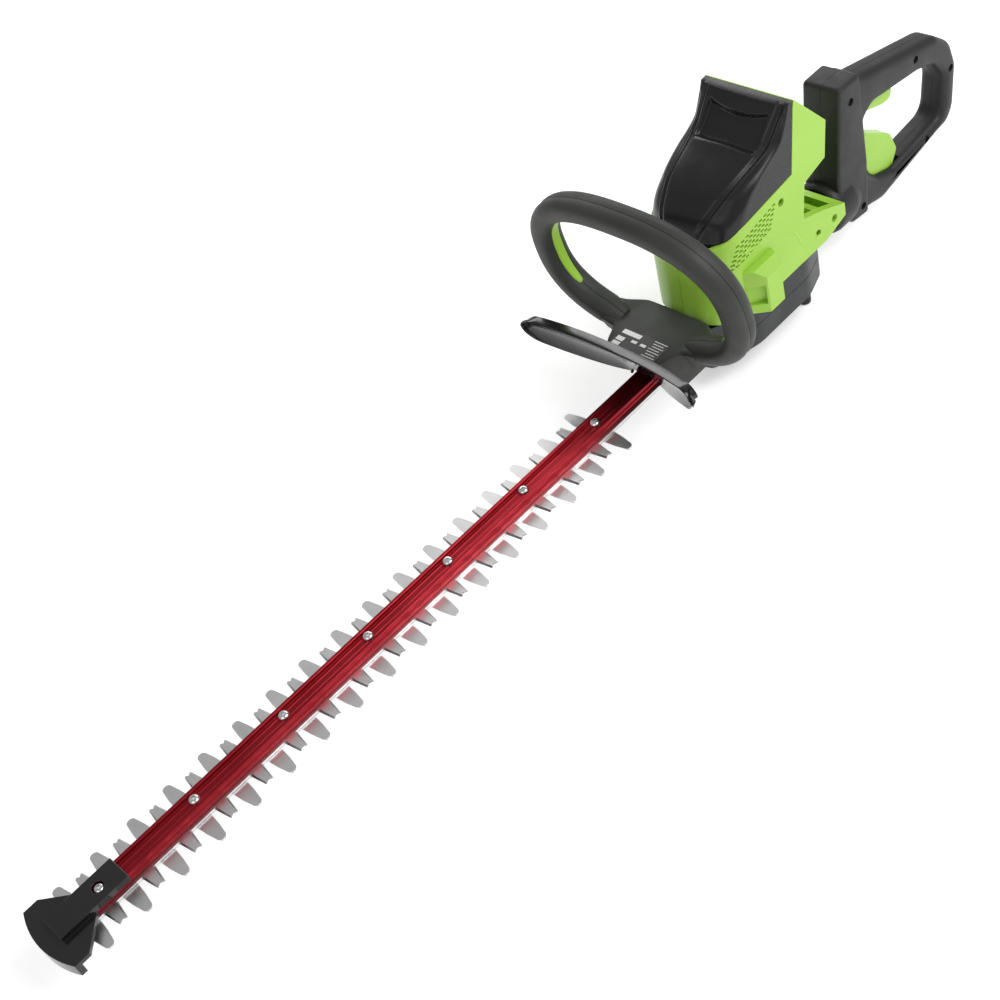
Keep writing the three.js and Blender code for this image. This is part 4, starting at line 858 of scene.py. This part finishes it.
def inset_outline(points, distance):
    """Moves a closed outline to the left of its direction of travel by a distance."""
    result = []
    for i, here in enumerate(points):
        before = (Vector(here) - Vector(points[i - 1])).normalized()
        after = (Vector(points[(i + 1) % len(points)]) - Vector(here)).normalized()
        side = Vector((-before.y - after.y, before.x + after.x)).normalized()
        reach = distance / max(0.4, side.dot(Vector((-before.y, before.x))))
        result.append(tuple(Vector(here) + side * reach))
    return result


def soft_slab(name, outline, half_width, edge, opening=None, steps=6):
    """A slab that stands on the XZ plane, with its edges rounded inwards, and a hole if one is given."""
    levels = [(edge * (1 - math.sin(a)), half_width - edge * (1 - math.cos(a)))
              for a in np.linspace(0, math.pi / 2, steps)]
    levels = levels + [(inset, -y) for inset, y in reversed(levels)]
    slab = bmesh.new()
    caps = [[], []]
    for loop, sign in [(outline, 1)] + ([(opening, -1)] if opening else []):
        turning = sum(a[0] * b[1] - b[0] * a[1] for a, b in zip(loop, loop[1:] + loop[:1]))
        inward = sign if turning > 0 else -sign
        rings = [[slab.verts.new(at(x, y, z)) for x, z in inset_outline(loop, inset * inward)]
                 for inset, y in levels]
        for low, high in zip(rings, rings[1:]):
            for i in range(len(loop)):
                j = (i + 1) % len(loop)
                slab.faces.new((low[i], low[j], high[j], high[i]))
        for cap, ring in zip(caps, (rings[0], rings[-1])):
            cap += [slab.edges.get((ring[i], ring[i - 1])) for i in range(len(ring))]
    for cap in caps:
        bmesh.ops.triangle_fill(slab, edges=cap, use_beauty=True)
    bmesh.ops.recalc_face_normals(slab, faces=slab.faces)
    mesh = bpy.data.meshes.new(name)
    slab.to_mesh(mesh)
    slab.free()
    return new_object(name, mesh)


def turned_about_x(name, profile, y, z, sides=64):
    """A closed solid of revolution about a line along X. The profile is a list of (x, radius)."""
    rings = [[(x, y + r * math.cos(2 * math.pi * i / sides), z + r * math.sin(2 * math.pi * i / sides))
              for i in range(sides)] for x, r in profile]
    return swept(name, rings)


def block(name, x0, x1, y0, y1, z0, z1):
    """A plain box in millimetres, used as a cutter."""
    return swept(name, [[(x, y0, z0), (x, y1, z0), (x, y1, z1), (x, y0, z1)] for x in (x0, x1)])


def combined(obj, operation, *tools):
    """Joins or cuts with other solids, and removes them afterwards."""
    for tool in tools:
        change = obj.modifiers.new("change", "BOOLEAN")
        change.operation = operation
        change.object = tool
        change.solver = "EXACT"
        change.use_self = True
        baked(obj)
        bpy.data.objects.remove(tool)
    return obj


# %% Close the handle round its column and barrel
ring = soft_slab(
    "handle_ring", rounded_outline(HANDLE_OUTER, 24), GRIP_HALF, 8, rounded_outline(HANDLE_OPENING, 16))
COLUMN = [(-912, -13), (-936, -16), (-940, 40), (-938, 134), (-907, 134), (-895, 47), (-895, 0)]
column = soft_slab("handle_column", rounded_outline(COLUMN, 5), COLUMN_HALF, 3.5)
BARREL_PROFILE = [
    (-925, 21), (-922, 22.6), (-914, 26.2), (-911, 26.9),
    (-892, 26.9), (-889, 26.3), (-887, 25), (-886.2, 24)]
barrel = turned_about_x("handle_barrel", BARREL_PROFILE, 0, BARREL_Z)
handle = combined(ring, "UNION", column, barrel)
trigger_slot = block("trigger_slot", -1003, -957.5, -8, 8, 60, 101)
lever_slot = block("lever_slot", -992, -946, -8.5, 8.5, -18.9, 30)
lever_slot_rear = block("lever_slot_rear", -1002.5, -991, -8.5, 8.5, -11, 30)
combined(handle, "DIFFERENCE", trigger_slot, lever_slot, lever_slot_rear)


def one_side(source, name, side, seam=GAP / 2):
    """The part of a solid on one side of the middle plane, closed along the cut."""
    mesh = source.data.copy()
    half = bmesh.new()
    half.from_mesh(mesh)
    cut = bmesh.ops.bisect_plane(
        half, geom=half.verts[:] + half.edges[:] + half.faces[:], plane_co=at(0, side * seam, 0),
        plane_no=(0, -side, 0), clear_outer=True)
    rim = [e for e in cut["geom_cut"] if isinstance(e, bmesh.types.BMEdge)]
    bmesh.ops.triangle_fill(half, edges=rim, use_beauty=True)
    bmesh.ops.recalc_face_normals(half, faces=half.faces)
    half.to_mesh(mesh)
    half.free()
    return new_object(name, mesh)


SEAT_RADIUS = 3.7
HANDLE_SCREWS = [(-922, 114, 16), (-1028, 92, 11), (-1083, 50, 11), (-1040, -4, 11), (-928, -4, 11)]


def drilled(obj, places):
    """Sinks round screw seats into the left-hand side at (x, z, depth of the seat's floor)."""
    for x, z, seat in places:
        angles = np.linspace(0, 2 * math.pi, 33)[:-1]
        circle = [(x + SEAT_RADIUS * math.cos(a), z + SEAT_RADIUS * math.sin(a)) for a in angles]
        combined(obj, "DIFFERENCE", swept("bore", [[(px, y, pz) for px, pz in circle] for y in (seat, 60)]))
    return obj


drilled(handle, HANDLE_SCREWS)
for side, node in ((1, "rear_handle_left"), (-1, "rear_handle_right")):
    hand_over(smooth(one_side(handle, node + "_finished", side), 35), handle_grey, node)
bpy.data.objects.remove(handle)
NECK_PROFILE = [
    (-889, 16.4), (-859, 16.4), (-857.8, 16.9), (-857.8, 19.6), (-857.2, 20), (-853.5, 20), (-853, 19.6)]
neck_skin = turned_about_x("handle_neck", NECK_PROFILE, 0, BARREL_Z)
add_detail(smooth(neck_skin, 35), handle_grey, "rear_handle_left")
for i, (x, z, seat) in enumerate(HANDLE_SCREWS):
    screw_head(
        f"handle_screw_head_{i + 1}", at(x, seat + 0.1, z), (0, 1, 0), 3.3, 1.6,
        f"rear_handle_screw_{i + 1}", dark_iron)
print("rear handle closed")

# %% [markdown]
# ## Trigger, lever and collar
# These three are green and black plastic. The trigger and the lever keep their CAD outlines, with a
# generous rounding where a finger presses. The collar keeps its CAD shape too, with softened edges.

# %% Finish the controls
rounded_node("trigger", 1.8, leaf_green, angle=40, shade=50)
rounded_node("release_lever", 1.6, leaf_green, angle=40, shade=50)
rounded_node("trigger_switch", 0.5, inner_black)
rounded_node("collar_ring", 0.6, gloss_black, angle=25, shade=40)
print("controls finished")

# %% [markdown]
# ## The base bracket
# The loop stands on a bridge that carries it over the bar, and the two read as one moulding. The
# bracket is lofted through sections across the tool: it rises and narrows towards the loop's limbs,
# and its underside is open over the bar. A dark plate lies in its top, and plain light blocks and
# bars stand in for the printing.

# %% Loft the base and lay its plate
def base_section(y, low):
    """The bracket's section at a distance from the middle: it rises and narrows towards the limbs."""
    rise = step_between((abs(y) - 29) / 24, 0, 1)
    top = 44.9 + 4 * rise
    front = -621.5 - 22 * step_between((abs(y) - 27) / 12, 0, 1)
    rear = -688 + 13 * rise
    toe = front - 0.43 * (top - low)
    return [
        (toe, y, low), (front - 1.5, y, top - 3.2), (front - 2.1, y, top - 1.5), (front - 3.8, y, top - 0.3),
        (front - 5.5, y, top), (rear + 5.5, y, top), (rear + 3, y, top - 0.4), (rear + 1, y, top - 1.8),
        (rear, y, top - 4), (rear, y, low)]


stations = [(0, 34.5), (12, 34.5), (25, 34.5), (25.05, 0.3), (28, 0.3), (31.9, 0.3), (32, 18)]
stations += [(y, 18 + 14 * step_between((y - 36) / 20, 0, 1)) for y in (34, 36, 39, 42, 45, 48, 51, 53)]
stations = [(-y, low) for y, low in reversed(stations[1:])] + stations
base = swept("base_bracket", [base_section(y, low) for y, low in stations])
hand_over(smooth(base, 38), loop_grey, "handle_base")
plate_black = moulded_plastic(
    "plate_film", (0.020, 0.021, 0.019), (0.028, 0.029, 0.027), (0.3, 0.4), 900, 0.00001)
print_white = moulded_plastic(
    "print_white", (0.70, 0.70, 0.69), (0.78, 0.78, 0.77), (0.4, 0.5), 900, 0.00001)
rounded_node("rating_plate", 0.3, plate_black)
PLATE_TOP = (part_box("rating_plate")[1].z - origin.z) / MM


def printed(name, x0, x1, y0, y1):
    """A thin light patch on the plate."""
    patch = block(name, x0, x1, y0, y1, PLATE_TOP - 0.05, PLATE_TOP + 0.04)
    return add_detail(patch, print_white, "rating_plate")


for i, (x, y, length, width) in enumerate([
        (-643, -14, 5, 20), (-634, -20, 5, 8), (-628, -20, 4, 8), (-636, -6, 3, 6), (-636, 4, 3, 6)]):
    printed(f"print_{i + 1}", x - length / 2, x + length / 2, y - width / 2, y + width / 2)
for i in range(7):
    x = -645.5 + 3.1 * i
    printed(f"print_line_{i + 1}", x - 0.35, x + 0.35, 9.5 + (i % 3), 23.5 - 2 * (i % 2))
print("base finished")

# %% [markdown]
# ## The hand guard
# The guard is a thin dished sheet that keeps the hand off the blade. Its upper edge bows up towards
# its wings and carries a flange, and below it narrows to a tongue each side of the bar. It is drawn
# as a grid of points between its two edges, and then thickened.

# %% Draw the guard
GUARD_HALF = 95


def guard_edges(y):
    """The sheet's upper and lower edge at a distance from the middle, closing in a round end."""
    share = abs(y) / GUARD_HALF
    top = Vector((-604 + 14 * share ** 2, 62 + 8 * share ** 1.5))
    flare = max(0, (abs(y) - 16) / (GUARD_HALF - 16))
    bottom = Vector((-632 + 40 * flare, 11 + 37 * flare ** 1.25))
    end = max(0, (abs(y) - GUARD_HALF + 14) / 14)
    closing = math.sqrt(max(0, 1 - end ** 2.2))
    middle = (top + bottom) / 2
    return middle + (top - middle) * closing, middle + (bottom - middle) * closing


def guard_column(y, rows=17):
    """From the flange's back, over the rim, down the hollow face, and round the lower lip."""
    top, bottom = guard_edges(y)
    face = []
    for r in range(rows):
        t = r / (rows - 1)
        hollow = -3.2 * 4 * t * (1 - t)
        place = top + (bottom - top) * t
        face.append((place.x + hollow - 0.4, y, place.y))
    rim = [
        (top.x - 10, y, top.y - 1.2), (top.x - 6, y, top.y - 0.4),
        (top.x - 2, y, top.y), (top.x - 0.8, y, top.y + 0.05)]
    # over the bar there is no lip, so its two points fall together on the face's last one
    lip = [face[-1], face[-1]]
    if abs(y) > 14:
        lip = [(bottom.x - 1.2, y, bottom.y - 0.2), (bottom.x - 4.5, y, bottom.y + 0.5)]
    return rim + face + lip


guard_ys = [-GUARD_HALF * math.cos(a) for a in np.linspace(0.02, math.pi - 0.02, 97)]
guard_grid = [guard_column(y) for y in guard_ys]
guard_points = [point for column in guard_grid for point in column]
guard = mesh_from("guard_sheet", guard_points, grid_faces(len(guard_grid), len(guard_grid[0])))
wall = guard.modifiers.new("wall", "SOLIDIFY")
wall.thickness = SHEET_WALL * MM
wall.offset = -1
baked(guard)
notch = block("bar_notch", -660, -600, -12, 12, -20, bar_z1 + 5)
combined(guard, "DIFFERENCE", notch)
hand_over(smooth(guard, 50), guard_black, "hand_guard")
print("guard finished")

# %% [markdown]
# ## The gearbox, the drive and the tip
# Castings have sand-rough flanks and rounded edges. The drive train sits inside and is only seen
# when a half is taken off, but it still gets its own metals, so the model stays true when opened.

# %% Finish the metal parts
for node, width in (("gearbox_lower", 1.2), ("gearbox_upper", 0.8)):
    rounded_node(node, width, cast_alloy)
for node in ("foot_peg_left", "foot_peg_right"):
    rounded_node(node, 0.8, inner_black)
for node in ("drive_gear", "upper_blade_yoke", "lower_blade_yoke", "bearing_top", "bearing_bottom"):
    rounded_node(node, 0.2, bright_zinc)
rounded_node("motor_stator", 0.4, dark_iron)
rounded_node("motor_rotor", 0.3, copper)
rounded_node("motor_pinion", 0.15, bright_zinc)
rounded_node("motor_fan", 0.3, inner_black)
rounded_node("lower_guide_strip", 0.4, bright_zinc)
rounded_node("tip_guard", 0.8, guard_black, angle=25)
print("drive finished")

# %% Finish the electrical parts
board_green = moulded_plastic(
    "board_laminate", (0.02, 0.10, 0.04), (0.03, 0.14, 0.06), (0.3, 0.4), 400, 0.00002)
rounded_node("battery_bay", 0.4, inner_black)
rounded_node("terminal_block", 0.3, inner_black)
rounded_node("control_board", 0.2, board_green)
for i in range(3):
    rounded_node(f"housing_screw_{i + 1}", 0.2, dark_iron)
print("electrical parts finished")
